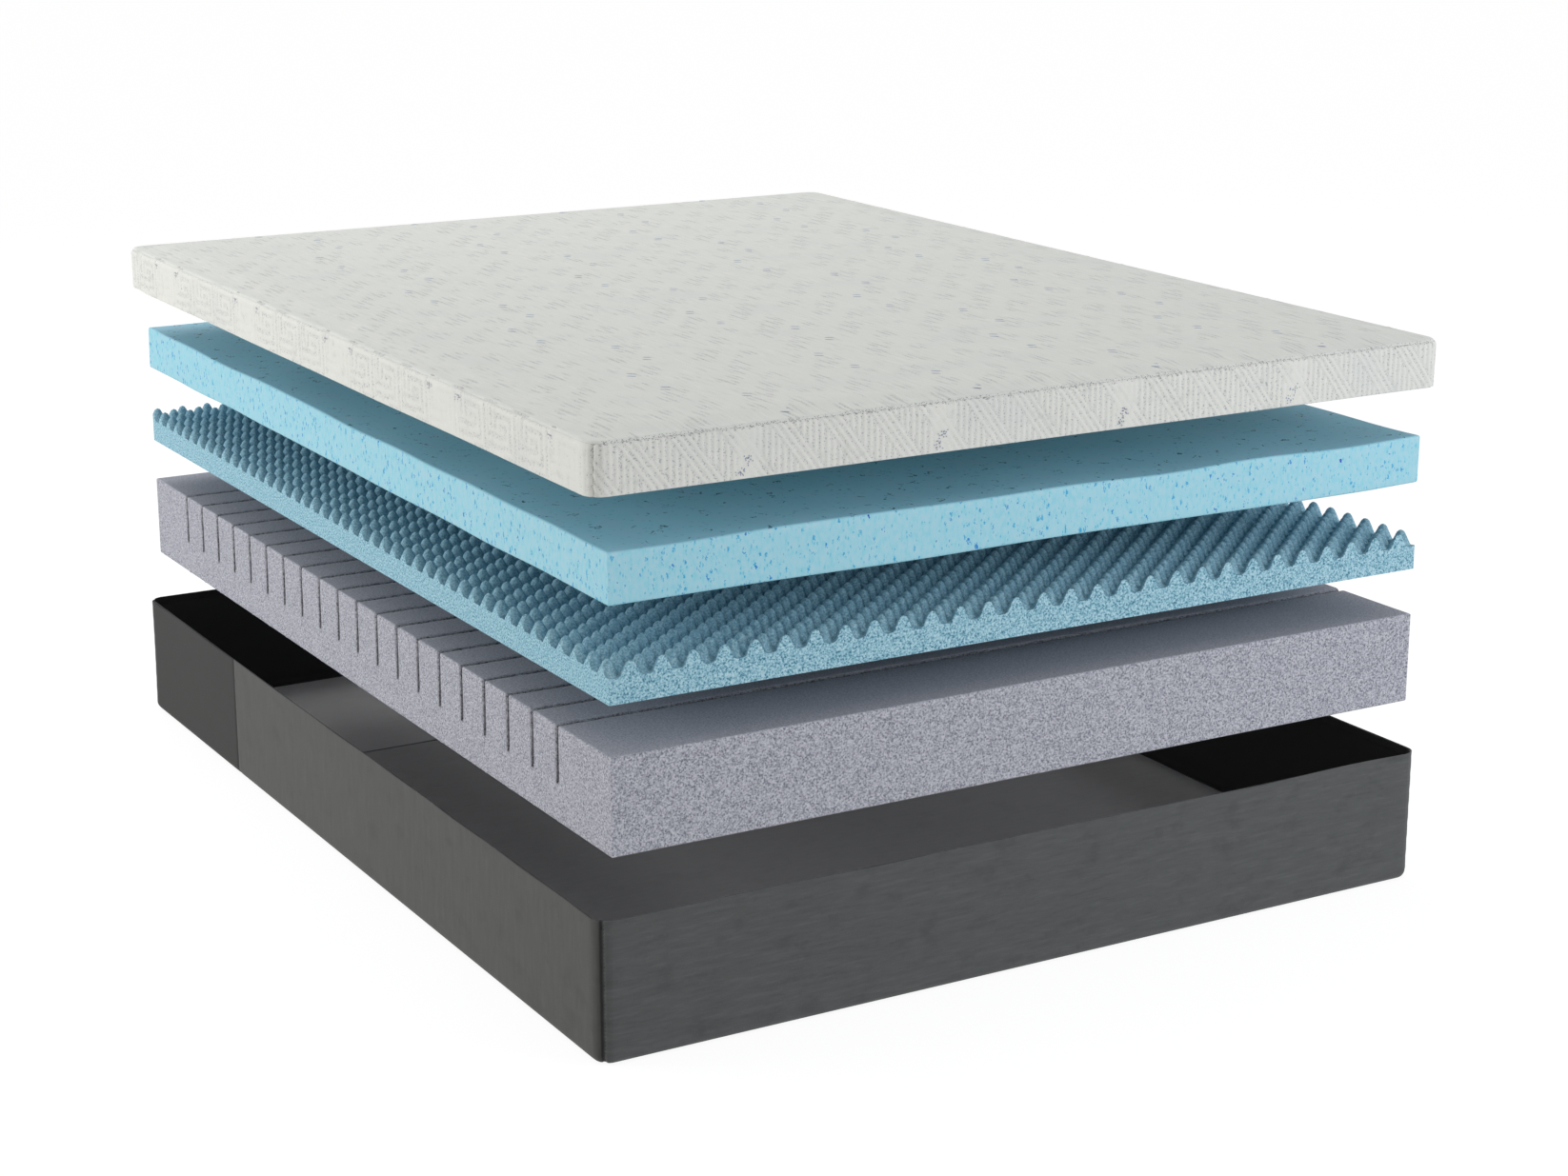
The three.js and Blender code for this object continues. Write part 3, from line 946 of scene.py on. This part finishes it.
def add_convoluted_foam():
    low, high = CONVOLUTED_LOW, CONVOLUTED_HIGH
    base = high.z - PEAK_HEIGHT
    xs = on_lattice(low.x, high.x, 0.0, PEAK_PITCH_X)
    ys = on_lattice(low.y, high.y, PEAK_ROW_INSET - high.y, PEAK_PITCH_Y)
    top = lifted(plane(xs, ys), base)
    flat = top[..., :2]
    uneven = 0.35 * MM * ripple(flat, 0.03, 41) + 0.25 * MM * ripple(flat, 0.011, 42)
    worn = 1 + 0.03 * ripple(flat, 0.08, 43)
    height = peak_height(flat[..., 0], flat[..., 1]) * np.minimum(worn, 1) + uneven
    top[..., 2] += np.minimum(height - 0.4 * MM, PEAK_HEIGHT - 0.2 * MM)
    bottom = lifted(plane(xs, ys), low.z)
    upper, lower = rim_loop(top), rim_loop(bottom)
    loops = [lower + (upper - lower) * share for share in (0.75, 0.5, 0.25)]
    skin = closed_skin(top, bottom, loops, every=6)
    node, looks = "convoluted_foam", ["convoluted_top", "convoluted"]
    piece = stand_in(node, node, node, skin, looks)
    limit = high - Vector((1 * MM, 1 * MM, 0))
    give_look(piece, 1, lambda f: abs(f.center.x) > limit.x or abs(f.center.y) > limit.y)


def slit_lines():
    """Grid lines across each slit: its walls, its eased lips and the foam between."""
    offsets = [SLIT_WIDTH / 2 - 0.15 * MM, SLIT_WIDTH / 2 + 0.15 * MM]
    offsets += [SLIT_WIDTH / 2 + share * LIP_REACH for share in (0.15, 0.35, 0.65, 1.0)]
    centres = (np.arange(SLIT_COUNT) - (SLIT_COUNT - 1) / 2) * SLIT_PITCH
    lines = [c + sign * o for c in centres for o in offsets for sign in (-1, 1)]
    lines += [c + SLIT_PITCH * share for c in centres[:-1] for share in (0.3, 0.5, 0.7)]
    return centres, lines


def add_support_foam():
    low, high = SUPPORT_LOW, SUPPORT_HIGH
    centres, lines = slit_lines()
    xs = crowded(low.x, high.x, 12 * MM, 1 * MM, SUPPORT_EDGE)
    ends = [high.y - d * MM for d in (0, 1, 2, 3, 30, 60, 90, 120, 140)]
    ys = np.array(sorted([*lines, *ends, *(-y for y in ends)]))
    top, loops, bottom = foam_block(xs, ys, low.z, high.z, SUPPORT_EDGE)
    for points in (top, *loops):
        cut_slits(points, centres, low, high)
    skin = closed_skin(top, bottom, loops, every=4)
    node, looks = "support_foam", ["support_top", "slit", "support"]
    piece = stand_in(node, node, node, skin, looks)
    floor = high.z - SLIT_DEPTH - 1 * MM

    # Faces in a slit, or near its wall, take the painted shade
    def in_slit(face):
        beside = np.abs(face.center.y - centres).min() - SLIT_WIDTH / 2
        return face.center.z > floor and beside < SLIT_SHADE

    give_look(piece, 2, upright)
    give_look(piece, 1, in_slit)


def cut_slits(points, centres, low, high):
    """Squeezes the foam's columns down to the slits' floors, and eases the lips beside them."""
    thickness = high.z - low.z
    y = points[..., 1]
    nearest = np.abs(y[..., None] - centres).min(axis=-1)
    inside = nearest < SLIT_WIDTH / 2
    share = np.clip((nearest - SLIT_WIDTH / 2) / LIP_REACH, 0, 1)
    lip = LIP_DROP * (1 - share) ** 2 * (1 + 0.35 * ripple(points, 0.02, 51))
    depth = np.where(inside, SLIT_DEPTH, lip)
    height = (points[..., 2] - low.z) / thickness
    points[..., 2] -= depth * np.where(inside, height, height**6)
    share = np.clip((nearest - SLIT_WIDTH / 2) / SLIT_EDGE_REACH, 0, 1)
    at_side = eased((np.abs(points[..., 0]) - high.x) / (4 * MM) + 1)
    above_floor = eased((points[..., 2] - high.z + SLIT_DEPTH) / SLIT_EDGE_REACH)
    worn = SLIT_EDGE * (1 - share) ** 2 * at_side * above_floor * ~inside
    points[..., 0] -= np.sign(points[..., 0]) * worn
    wander = 0.25 * MM * ripple(points[..., ::2], 0.05, 52) * (nearest < SLIT_PITCH / 4)
    points[..., 1] += wander


# ---- Cap ----

def stroke_motif(across, up):
    """Ridges in N shapes: upright strokes with slanting strokes between them."""
    slope = math.radians(52)
    repeat = MOTIF_X * math.sin(slope)
    slant = wrapped(across * math.sin(slope) + up * math.cos(slope), repeat)
    slanting = np.abs(slant) < 0.22 * repeat
    ridge = np.where(
        slanting,
        np.cos(TAU * slant / (0.85 * RIDGE_SPACING)),
        np.cos(TAU * across / STROKE_SPACING),
    )
    border = np.abs(np.abs(slant) - 0.22 * repeat)
    return (0.5 + 0.5 * ridge) * eased(border / (2.5 * MM))


def key_motif(along, up):
    """Ridges in nested hooks, like a Greek key."""
    cell = wrapped(along, MOTIF_Y)
    hook = np.maximum(np.abs(cell), np.abs(up) * 1.15)
    opening = (cell > 0) & (up < 0)
    ridge = np.cos(TAU * np.where(opening, up, hook) / KEY_SPACING)
    border = np.abs(np.abs(cell) - MOTIF_Y / 2)
    return (0.5 + 0.5 * ridge) * eased(border / (3 * MM))


def band_ridges(side, along, section):
    """The knitted ridges of a band, 1 on a ridge and 0 in a groove, plain round the marks."""
    z = section[1][None, :]
    reach = along[:, None] - side_total(side) / 2 + 0 * z
    place = reach if side in (RIGHT, FOOT) else -reach
    up = z - (CAP_HEM + CAP_TOP) / 2 + 0 * reach
    if side in (LEFT, RIGHT):
        place = place - SIDE_MARK_Y
        ridges = key_motif(place, up)
        beyond_mark = (np.abs(wrapped(place, MARK_CELL[1])) - 30 * MM) / (50 * MM)
    else:
        place = place - END_MARK_X
        ridges = stroke_motif(place, up)
        beyond_mark = (np.abs(wrapped(place, MARK_CELL[0])) - 12 * MM) / (16 * MM)
    return 1 - (1 - ridges) * (0.4 + 0.6 * eased(beyond_mark))


def band_fade(section):
    """Where the ridges stand out: less at the hem and over the roll."""
    z = section[1][None, :]
    return eased((z - CAP_HEM) / (5 * MM)) * eased((CAP_TOP - z) / (9 * MM))


def cap_wave(side, points):
    """Slow waves of a cap band, which die out where the zip slider passes."""
    height = (CAP_TOP - points[..., 2]) / (CAP_TOP - CAP_HEM)
    wave = 0.9 * MM * (ripple(points, 0.45, 61) - 0.5) * height
    if side == HEAD:
        wave = wave * eased((points[..., 2] - CAP_HEM) / (30 * MM) - 0.6)
    return wave


def add_band(name, side):
    start, end = SEAM_GAP / 2, side_total(side) - SEAM_GAP / 2
    along = crowded(start, end, CAP_STEP, CAP_STEP_FINE, 8 * CAP_STEP_FINE)
    section = band_section()
    shape = np.zeros((len(along), len(section[1])))
    push = cap_wave(side, wall_grid(side, along, section, shape))
    for distance in (along - start, end - along):
        push = push - seam_pull(distance, BAND_SEAM, BAND_SEAM_WIDTH)[:, None]
    roll = CAP_ROLL_RADIUS * CAP_ROLL_ANGLE
    from_seam = (CAP_TOP - CAP_ROLL_RADIUS + roll - section_rise(section))[None, :]
    push = push - seam_pull(from_seam, EDGE_SEAM, EDGE_SEAM_WIDTH)
    rounding = edge_rounding(section[1] - CAP_HEM, CAP_FABRIC)[None, :]
    shade = band_ridges(side, along, section)
    long_side = side in (LEFT, RIGHT)
    height = SIDE_RIDGE_HEIGHT if long_side else RIDGE_HEIGHT
    relief = height * (shade - 1) * band_fade(section)
    outer = wall_grid(side, along, section, push + relief - rounding)
    inner = wall_grid(side, along, section, push + rounding - CAP_FABRIC)
    share = eased((CAP_TOP - section[1]) / (CAP_TOP - CAP_HEM))[None, :]
    drop = hem_reach(outer[:, :1]) * share
    outer[..., 2] -= drop
    inner[..., 2] -= drop
    skin = closed_skin(outer, inner, every=4)
    look = "knit_side" if long_side else "knit_end"
    piece = stand_in(name, "top_cover", "knit", skin, [look], ridges=shade)


def section_rise(section):
    """Distance of each row of a section from its start, measured along the cloth."""
    inset, z = section[:2]
    steps = np.hypot(np.diff(inset), np.diff(z))
    return z[0] + np.concatenate([[0], np.cumsum(steps)])


def panel_layout(xs, ys):
    """Places of the top panel on its rolled outline: centre, direction, turn of the roll."""
    flat = plane(xs, ys)
    core = np.array([HALF_WIDTH - CORNER_RADIUS, HALF_LENGTH - CORNER_RADIUS])
    centre = np.clip(flat, -core, core)
    beyond = flat - centre
    reach = np.abs(beyond).max(axis=-1)
    length = np.linalg.norm(beyond, axis=-1)
    direction = beyond / np.maximum(length, 1e-9)[..., None]
    turn = np.maximum(reach - (CORNER_RADIUS - CAP_ROLL_RADIUS), 0) / CAP_ROLL_RADIUS
    return flat, centre, direction, np.minimum(reach, CORNER_RADIUS - CAP_ROLL_RADIUS), turn


def panel_points(layout, push):
    _, centre, direction, level_reach, turn = layout
    radius = CAP_ROLL_RADIUS + push
    outward = level_reach + radius * np.sin(turn)
    flat = centre + direction * outward[..., None]
    height = CAP_TOP - CAP_ROLL_RADIUS + radius * np.cos(turn)
    return lifted(flat, height)


def simulated_swell(half_x, half_y):
    """Cloth simulation of the top panel: held along its seam, it swells a little and relaxes.

    Returns how far it stands up on an even grid over the panel.
    """
    xs, ys = np.linspace(-half_x, half_x, 56), np.linspace(-half_y, half_y, 72)
    grid = lifted(plane(xs, ys), 0.0)
    grid[..., 2] = 0.5 * MM * ripple(grid[..., :2], 0.25, 71)
    mesh = bpy.data.meshes.new("panel_cloth")
    mesh.from_pydata(grid.reshape(-1, 3).tolist(), [], grid_faces(*grid.shape[:2]))
    cloth = linked("panel_cloth", mesh)
    held = cloth.vertex_groups.new(name="held")
    columns = grid.shape[1]
    held.add([i * columns + j for i, j in rim_places(*grid.shape[:2])], 1.0, "ADD")
    settings = cloth.modifiers.new("cloth", "CLOTH").settings
    for name, value in PANEL_CLOTH.items():
        setattr(settings, name, value)
    settings.effector_weights.gravity = PANEL_SWELL
    scene = bpy.context.scene
    for step in range(1, 25):
        scene.frame_set(step)
    relaxed = cloth.evaluated_get(bpy.context.evaluated_depsgraph_get()).to_mesh()
    height = np.array([v.co.z for v in relaxed.vertices]).reshape(grid.shape[:2])
    bpy.data.objects.remove(cloth)
    scene.frame_set(1)
    return xs, ys, np.clip(height, -2 * MM, 6 * MM)


def sampled(xs, ys, values, x, y):
    """Values of an even grid, taken between its points."""
    column = np.clip((x - xs[0]) / (xs[1] - xs[0]), 0, len(xs) - 1.001)
    row = np.clip((y - ys[0]) / (ys[1] - ys[0]), 0, len(ys) - 1.001)
    i, j = column.astype(int), row.astype(int)
    s, t = column - i, row - j
    near = values[i, j] * (1 - t) + values[i, j + 1] * t
    far = values[i + 1, j] * (1 - t) + values[i + 1, j + 1] * t
    return near * (1 - s) + far * s


def panel_ridges(flat):
    """Faint long strokes along the bed, in clusters that follow the weave's diagonals."""
    across, up = flat[..., 0], flat[..., 1]
    strokes = 0.5 + 0.5 * np.cos(TAU * across / STROKE_SPACING)
    diagonal = wrapped(across - up * MOTIF_X / MOTIF_Y, MOTIF_X) / MOTIF_X
    cluster = eased(1.5 - 3.2 * np.abs(diagonal)) * eased(0.6 + 0.9 * ripple(flat, 0.11, 74))
    staggered = wrapped(up + 3.3 * across, MOTIF_Y) / MOTIF_Y
    return 1 - (1 - strokes) * cluster * eased(2.3 - 5.2 * np.abs(staggered))


def panel_push(flat):
    """How far the top panel stands above its flat layout."""
    waves = 0.5 * MM * ripple(flat, 0.2, 72) + 0.25 * MM * ripple(flat, 0.06, 73)
    xs, ys, height = simulated_swell(HALF_WIDTH - CAP_ROLL_RADIUS, HALF_LENGTH - CAP_ROLL_RADIUS)
    return waves + sampled(xs, ys, height, flat[..., 0], flat[..., 1])


def add_top_panel():
    """The cap's top panel, over the roll as far as its seam. Returns its surface's height."""
    roll = CAP_ROLL_RADIUS * CAP_ROLL_ANGLE
    half_x = HALF_WIDTH - CAP_ROLL_RADIUS + roll - SEAM_GAP / 2
    half_y = HALF_LENGTH - CAP_ROLL_RADIUS + roll - SEAM_GAP / 2
    xs = crowded(-half_x, half_x, PANEL_STEP[0], PANEL_STEP_FINE, CAP_ROLL_RADIUS)
    ys = crowded(-half_y, half_y, PANEL_STEP[1], PANEL_STEP_FINE, CAP_ROLL_RADIUS)
    layout = panel_layout(xs, ys)
    flat = layout[0]
    shade = panel_ridges(flat)
    rise = panel_push(flat) + 0.4 * RIDGE_HEIGHT * (shade - 1)
    edge = np.minimum(half_x - np.abs(flat[..., 0]), half_y - np.abs(flat[..., 1]))
    push = rise * eased(edge / (60 * MM)) - seam_pull(edge, EDGE_SEAM, EDGE_SEAM_WIDTH)
    upper = panel_points(layout, push)
    lower = panel_points(layout, 0 * push - CAP_FABRIC)
    skin = closed_skin(upper, lower, every=4)
    piece = stand_in("top_panel", "top_cover", "knit", skin, ["knit_top"], ridges=shade)
    return flat, upper


def add_edge_stitches(name, sides, look):
    """Needle marks and thread along the seam between the bands and the top panel."""
    reach, height = on_roll(CAP_ROLL_ANGLE, 1.2 * MM)
    threads = []
    for side in sides:
        places = spaced(3 * MM, side_total(side) - 3 * MM, 5.5 * MM)
        middle, direction = outline(side, places)
        flat = middle + direction * reach
        for (x, y), (nx, ny) in zip(flat, direction):
            normal = Vector((nx, ny, math.tan(CAP_ROLL_ANGLE))).normalized()
            threads.append(((x, y, height), (-ny, nx, 0), normal))
    sew(name, "top_cover", "knit", threads, (3.4 * MM, 1.3 * MM, 1.1 * MM), look)


def on_roll(turn, sunk):
    """Reach past the corner centres, and height, of places at an angle up the cap's roll."""
    radius = CAP_ROLL_RADIUS - sunk
    reach = CORNER_RADIUS - CAP_ROLL_RADIUS + radius * np.cos(turn)
    return reach, CAP_TOP - CAP_ROLL_RADIUS + radius * np.sin(turn)


def mark_places():
    """Centres of the woven marks: two staggered columns of pairs in each repeat."""
    for x0, y0 in MARK_COLUMNS:
        for i in range(-4, 5):
            for j in range(-4, 5):
                for end in (-1, 1):
                    yield x0 + i * MARK_CELL[0], y0 + j * MARK_CELL[1] + end * MARK_SPREAD


def add_top_marks(flat, upper):
    """Two short floats of blue-grey thread at each mark on the top panel."""
    slant = math.radians(-40)
    direction = np.array([math.cos(slant), math.sin(slant)])
    across = np.array([-direction[1], direction[0]])
    xs, ys = flat[:, 0, 0], flat[0, :, 1]
    threads = []
    for x, y in mark_places():
        for offset in (-9 * MM, 9 * MM):
            px, py = np.array([x, y]) + across * offset + direction * offset * -0.2
            if abs(px) < HALF_WIDTH - 20 * MM and abs(py) < HALF_LENGTH - 20 * MM:
                i, j = np.abs(xs - px).argmin(), np.abs(ys - py).argmin()
                threads.append(((px, py, upper[i, j, 2]), (*direction, 0), (0, 0, 1)))
    size = (17 * MM, 3.4 * MM, 0.9 * MM)
    sew("woven_marks_top", "top_cover", "knit", threads, size, "mark_thread")


def side_mark_places():
    """Places of the woven marks along a long side."""
    for j in range(-3, 4):
        for end in (-1, 1):
            yield SIDE_MARK_Y + j * MARK_CELL[1] + end * MARK_SPREAD


def add_band_marks():
    """Small clusters of blue-grey stitches where the weave's marks fall on the bands."""
    rng = np.random.default_rng(81)
    ends = []
    for side in (FOOT, HEAD):
        for i in range(-2, 4):
            place = END_MARK_X + i * MARK_CELL[0]
            ends += [(side, place, 26 * MM), (side, place - 9 * MM, 9 * MM)]
    sides = [(side, place, 66 * MM) for side in (LEFT, RIGHT) for place in side_mark_places()]
    add_stitch_clusters("woven_marks_ends", ends, "mark_thread", rng)
    add_stitch_clusters("woven_marks_sides", sides, "faint_thread", rng)


def add_stitch_clusters(name, spots, look, rng):
    """Scattered upright stitches round each spot: a side, a place along it and a height."""
    threads = []
    for side, place, height in spots:
        long_side = side in (LEFT, RIGHT)
        if abs(place) > (HALF_LENGTH if long_side else HALF_WIDTH) - CORNER_CLEARANCE:
            continue
        outward = np.array([math.cos(side), math.sin(side), 0.0])
        tangent = np.array([abs(outward[1]), abs(outward[0]), 0.0])
        half = HALF_WIDTH if long_side else HALF_LENGTH
        for _ in range(14):
            offset = rng.normal(0, 4.5 * MM, 2)
            point = outward * (half + 0.1 * MM) + tangent * (place + offset[0])
            point[2] = min(CAP_HEM + max(height + offset[1], 4 * MM), CAP_TOP - 12 * MM)
            threads.append((point, (0, 0, 1), outward))
    sew(name, "top_cover", "knit", threads, (2.4 * MM, 1.3 * MM, 1.0 * MM), look)


def add_edge_dashes():
    """A short pale float on the rolled edge above each mark of the long sides' bands."""
    turn = math.radians(66)
    reach, height = on_roll(turn, 0)
    x = HALF_WIDTH - CORNER_RADIUS + reach
    threads = []
    for sign in (-1, 1):
        normal = (sign * math.cos(turn), 0, math.sin(turn))
        for y in side_mark_places():
            if abs(y) < HALF_LENGTH - CORNER_CLEARANCE:
                threads.append(((sign * x, y, height), (0, 1, 0), normal))
    size = (15 * MM, 3.4 * MM, 1.0 * MM)
    sew("edge_dashes", "top_cover", "knit", threads, size, "pale_thread")


def add_edge_specks():
    """Needle holes and broken yarn along the seams at the foot and head: small dark specks."""
    rng = np.random.default_rng(91)
    threads = []
    for side in (FOOT, HEAD):
        length = side_total(side)
        places = rng.uniform(4 * MM, length - 4 * MM, 760)
        thick = 0.5 + 0.5 * np.sin(TAU * places / (MARK_CELL[0] / 3) + 1)
        turns = np.clip(rng.normal(CAP_ROLL_ANGLE + 0.05, 0.14 + 0.12 * thick), 0.2, 1.2)
        middle, direction = outline(side, places)
        sunk = seam_pull(turns - CAP_ROLL_ANGLE, EDGE_SEAM, 0.18)
        reach, height = on_roll(turns, sunk + 0.3 * MM)
        centres = lifted(middle + direction * reach[:, None], height)
        along = np.column_stack([-direction[:, 1], direction[:, 0], 0 * height])
        normals = lifted(direction * np.cos(turns)[:, None], np.sin(turns))
        threads += zip(centres, along, normals)
    size = (2.2 * MM, 1.3 * MM, 1.2 * MM)
    sew("edge_specks", "top_cover", "knit", threads, size, "seam_thread")


def add_cap():
    for name, side in (("foot", FOOT), ("right", RIGHT), ("head", HEAD), ("left", LEFT)):
        add_band("top_band_" + name, side)
    flat, upper = add_top_panel()
    add_edge_stitches("edge_stitches_ends", (FOOT, HEAD), "pale_thread")
    add_edge_stitches("edge_stitches_sides", (LEFT, RIGHT), "white_thread")
    add_edge_specks()
    add_edge_dashes()
    add_top_marks(flat, upper)
    add_band_marks()


# ---- Zip and label ----

def add_tape(name, body, edge_z, away, fabric, wave):
    """Zip tape sewn inside a cover's free edge, its coil of teeth along that edge."""
    height, thickness, coil, pitch = 14 * MM, 1 * MM, 2.4 * MM, 2.5 * MM
    rows = np.array([0.0, 0.5, 1.2, 1.9, 2.4, 3.0, 8.0, 14.0]) * MM
    rows = rows[::-1] if away < 0 else rows
    z = edge_z + away * rows
    bulge = np.sin(np.clip(rows / coil, 0, 1) * math.pi) * 0.6 * MM
    section = (np.full(len(z), fabric + SEAM_GAP), z, np.ones(len(z)), np.zeros(len(z)))
    grids = []
    for side in (FOOT, RIGHT, HEAD, LEFT):
        along = spaced(0, side_total(side), pitch / 4)[:-1]
        teeth = 0.5 + 0.5 * np.cos(TAU * along / pitch)
        shape = wall_grid(side, along, section, np.zeros((len(along), len(z))))
        push = wave(side, shape)
        depth = thickness + bulge[None, :] * (0.35 + 0.65 * teeth[:, None])
        outer = wall_grid(side, along, section, push)
        inner = wall_grid(side, along, section, push - depth)
        grids.append((outer, inner))
    outer, inner = (np.concatenate(part) for part in zip(*grids))
    skin = ring_skin(outer, inner)
    piece = stand_in(name, body, "zip_tape", skin, ["tape"], sharp_angle=60)


def ring_skin(outer, inner):
    """A closed strip round the cover: two grids whose first and last columns meet."""
    stations = len(outer)
    loop = np.concatenate([outer, inner[:, ::-1]], axis=1)
    around = loop.shape[1]
    index = np.arange(stations * around).reshape(stations, around)
    after = np.roll(index, -1, axis=0)
    corners = [index, after, np.roll(after, -1, axis=1), np.roll(index, -1, axis=1)]
    faces = np.stack(corners, axis=-1).reshape(-1, 4).tolist()
    return loop.reshape(-1, 3), faces


def add_label():
    """A blank sewn-in label, curling a little away from the border."""
    xs = spaced(LABEL_LOW.x, LABEL_HIGH.x, 2 * MM)
    zs = spaced(LABEL_LOW.z, LABEL_HIGH.z, 2 * MM)
    x, z = np.meshgrid(xs, zs, indexing="ij")
    free = (LABEL_HIGH.z - z) / (LABEL_HIGH.z - LABEL_LOW.z)
    curl = 2.5 * MM * free**2 + 0.5 * MM * np.sin(TAU * (x - xs[0]) / (40 * MM)) * free
    front = np.stack([x, LABEL_LOW.y + 0.5 * MM + curl, z], axis=-1)[::-1]
    back = front - (0, 0.4 * MM, 0)
    skin = closed_skin(front, back)
    piece = stand_in("care_label", "bottom_cover", "label_fabric", skin, ["label"])
    size = (LABEL_HIGH.x - LABEL_LOW.x, LABEL_HIGH.z - LABEL_LOW.z)
    stitch_xs = np.arange(LABEL_LOW.x + 3 * MM, LABEL_HIGH.x - 2 * MM, 3.5 * MM)
    seam_y, seam_z = LABEL_LOW.y + 0.6 * MM, LABEL_HIGH.z - 2.5 * MM
    threads = [((sx, seam_y, seam_z), (1, 0, 0), (0, 1, 0)) for sx in stitch_xs]
    size = (2.4 * MM, 0.6 * MM, 0.5 * MM)
    sew("label_stitches", "bottom_cover", "label_fabric", threads, size, "white_thread")


def finish_zip_hardware():
    """The CAD slider and pull keep their shapes, with broken edges and plated metal."""
    for name in ("zip_slider", "zip_pull"):
        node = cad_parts[name]
        node.data.materials.clear()
        node.data.materials.append(LOOKS["zip_metal"])
        bevel = node.modifiers.new("broken_edges", "BEVEL")
        bevel.width = 0.35 * MM
        bevel.segments = 2


# ---- Stage, light and camera ----

BED_MIDDLE = Vector((0, 0, 0.5))
CAMERA_PLACE = (-2.594, -4.686, 1.873)
CAMERA_DOWN = 15.5
CAMERA_TURN = -30.06
CAMERA_LENS = 68.17
CAMERA_SENSOR = 36
WHITE = (1, 1, 1)
COOL_WHITE = (0.95, 0.99, 1.06)


def add_stage():
    mesh = bpy.data.meshes.new("floor")
    half, below = 60.0, -1.0 * MM
    corners = [(x * half, y * half, below) for x, y in ((-1, -1), (1, -1), (1, 1), (-1, 1))]
    mesh.from_pydata(corners, [], [(0, 1, 2, 3)])
    mesh.materials.append(stage_white())
    linked("floor", mesh)


def add_softbox(name, place, size, power, colour):
    """A round soft lamp that faces the bed's middle."""
    light = bpy.data.lights.new(name, "AREA")
    light.color = colour
    light.shape = "DISK"
    light.size = size
    light.energy = power
    lamp = linked(name, light)
    lamp.location = place
    lamp.rotation_euler = (BED_MIDDLE - Vector(place)).to_track_quat("-Z", "Y").to_euler()


def light_room():
    """A white room: bright to the camera, a little dimmer as a light."""
    world = bpy.data.worlds.new("white_room")
    bpy.context.scene.world = world
    world.use_nodes = True
    tree = world.node_tree
    background = tree.nodes["Background"]
    background.inputs["Color"].default_value = (1, 1, 1, 1)
    tree.links.new(camera_or_light(tree, 1.0, 0.52), background.inputs["Strength"])


def add_camera():
    camera = linked("camera", bpy.data.cameras.new("camera"))
    camera.data.sensor_width = CAMERA_SENSOR
    camera.data.lens = CAMERA_LENS
    camera.location = CAMERA_PLACE
    camera.rotation_euler = (math.radians(90 - CAMERA_DOWN), 0, math.radians(CAMERA_TURN))
    camera.data.clip_end = 200
    bpy.context.scene.camera = camera


bpy.context.scene.view_settings.view_transform = "Standard"
add_camera()
add_stage()
light_room()
add_softbox("left_softbox", (-5.0, 1.8, 1.6), 3.0, 104, WHITE)
add_softbox("front_softbox", (3.2, -4.6, 1.6), 3.0, 95, COOL_WHITE)
add_softbox("top_softbox", (0.3, 3.5, 4.2), 3.5, 63, WHITE)
add_tray()
add_support_foam()
add_convoluted_foam()
add_gel_foam()
add_cap()
add_tape("zip_tape_lower", "bottom_cover", TRAY_RIM, -1, TRAY_FABRIC, tray_wave)
add_tape("zip_tape_upper", "top_cover", CAP_HEM, 1, CAP_FABRIC, cap_wave)
add_label()
finish_zip_hardware()
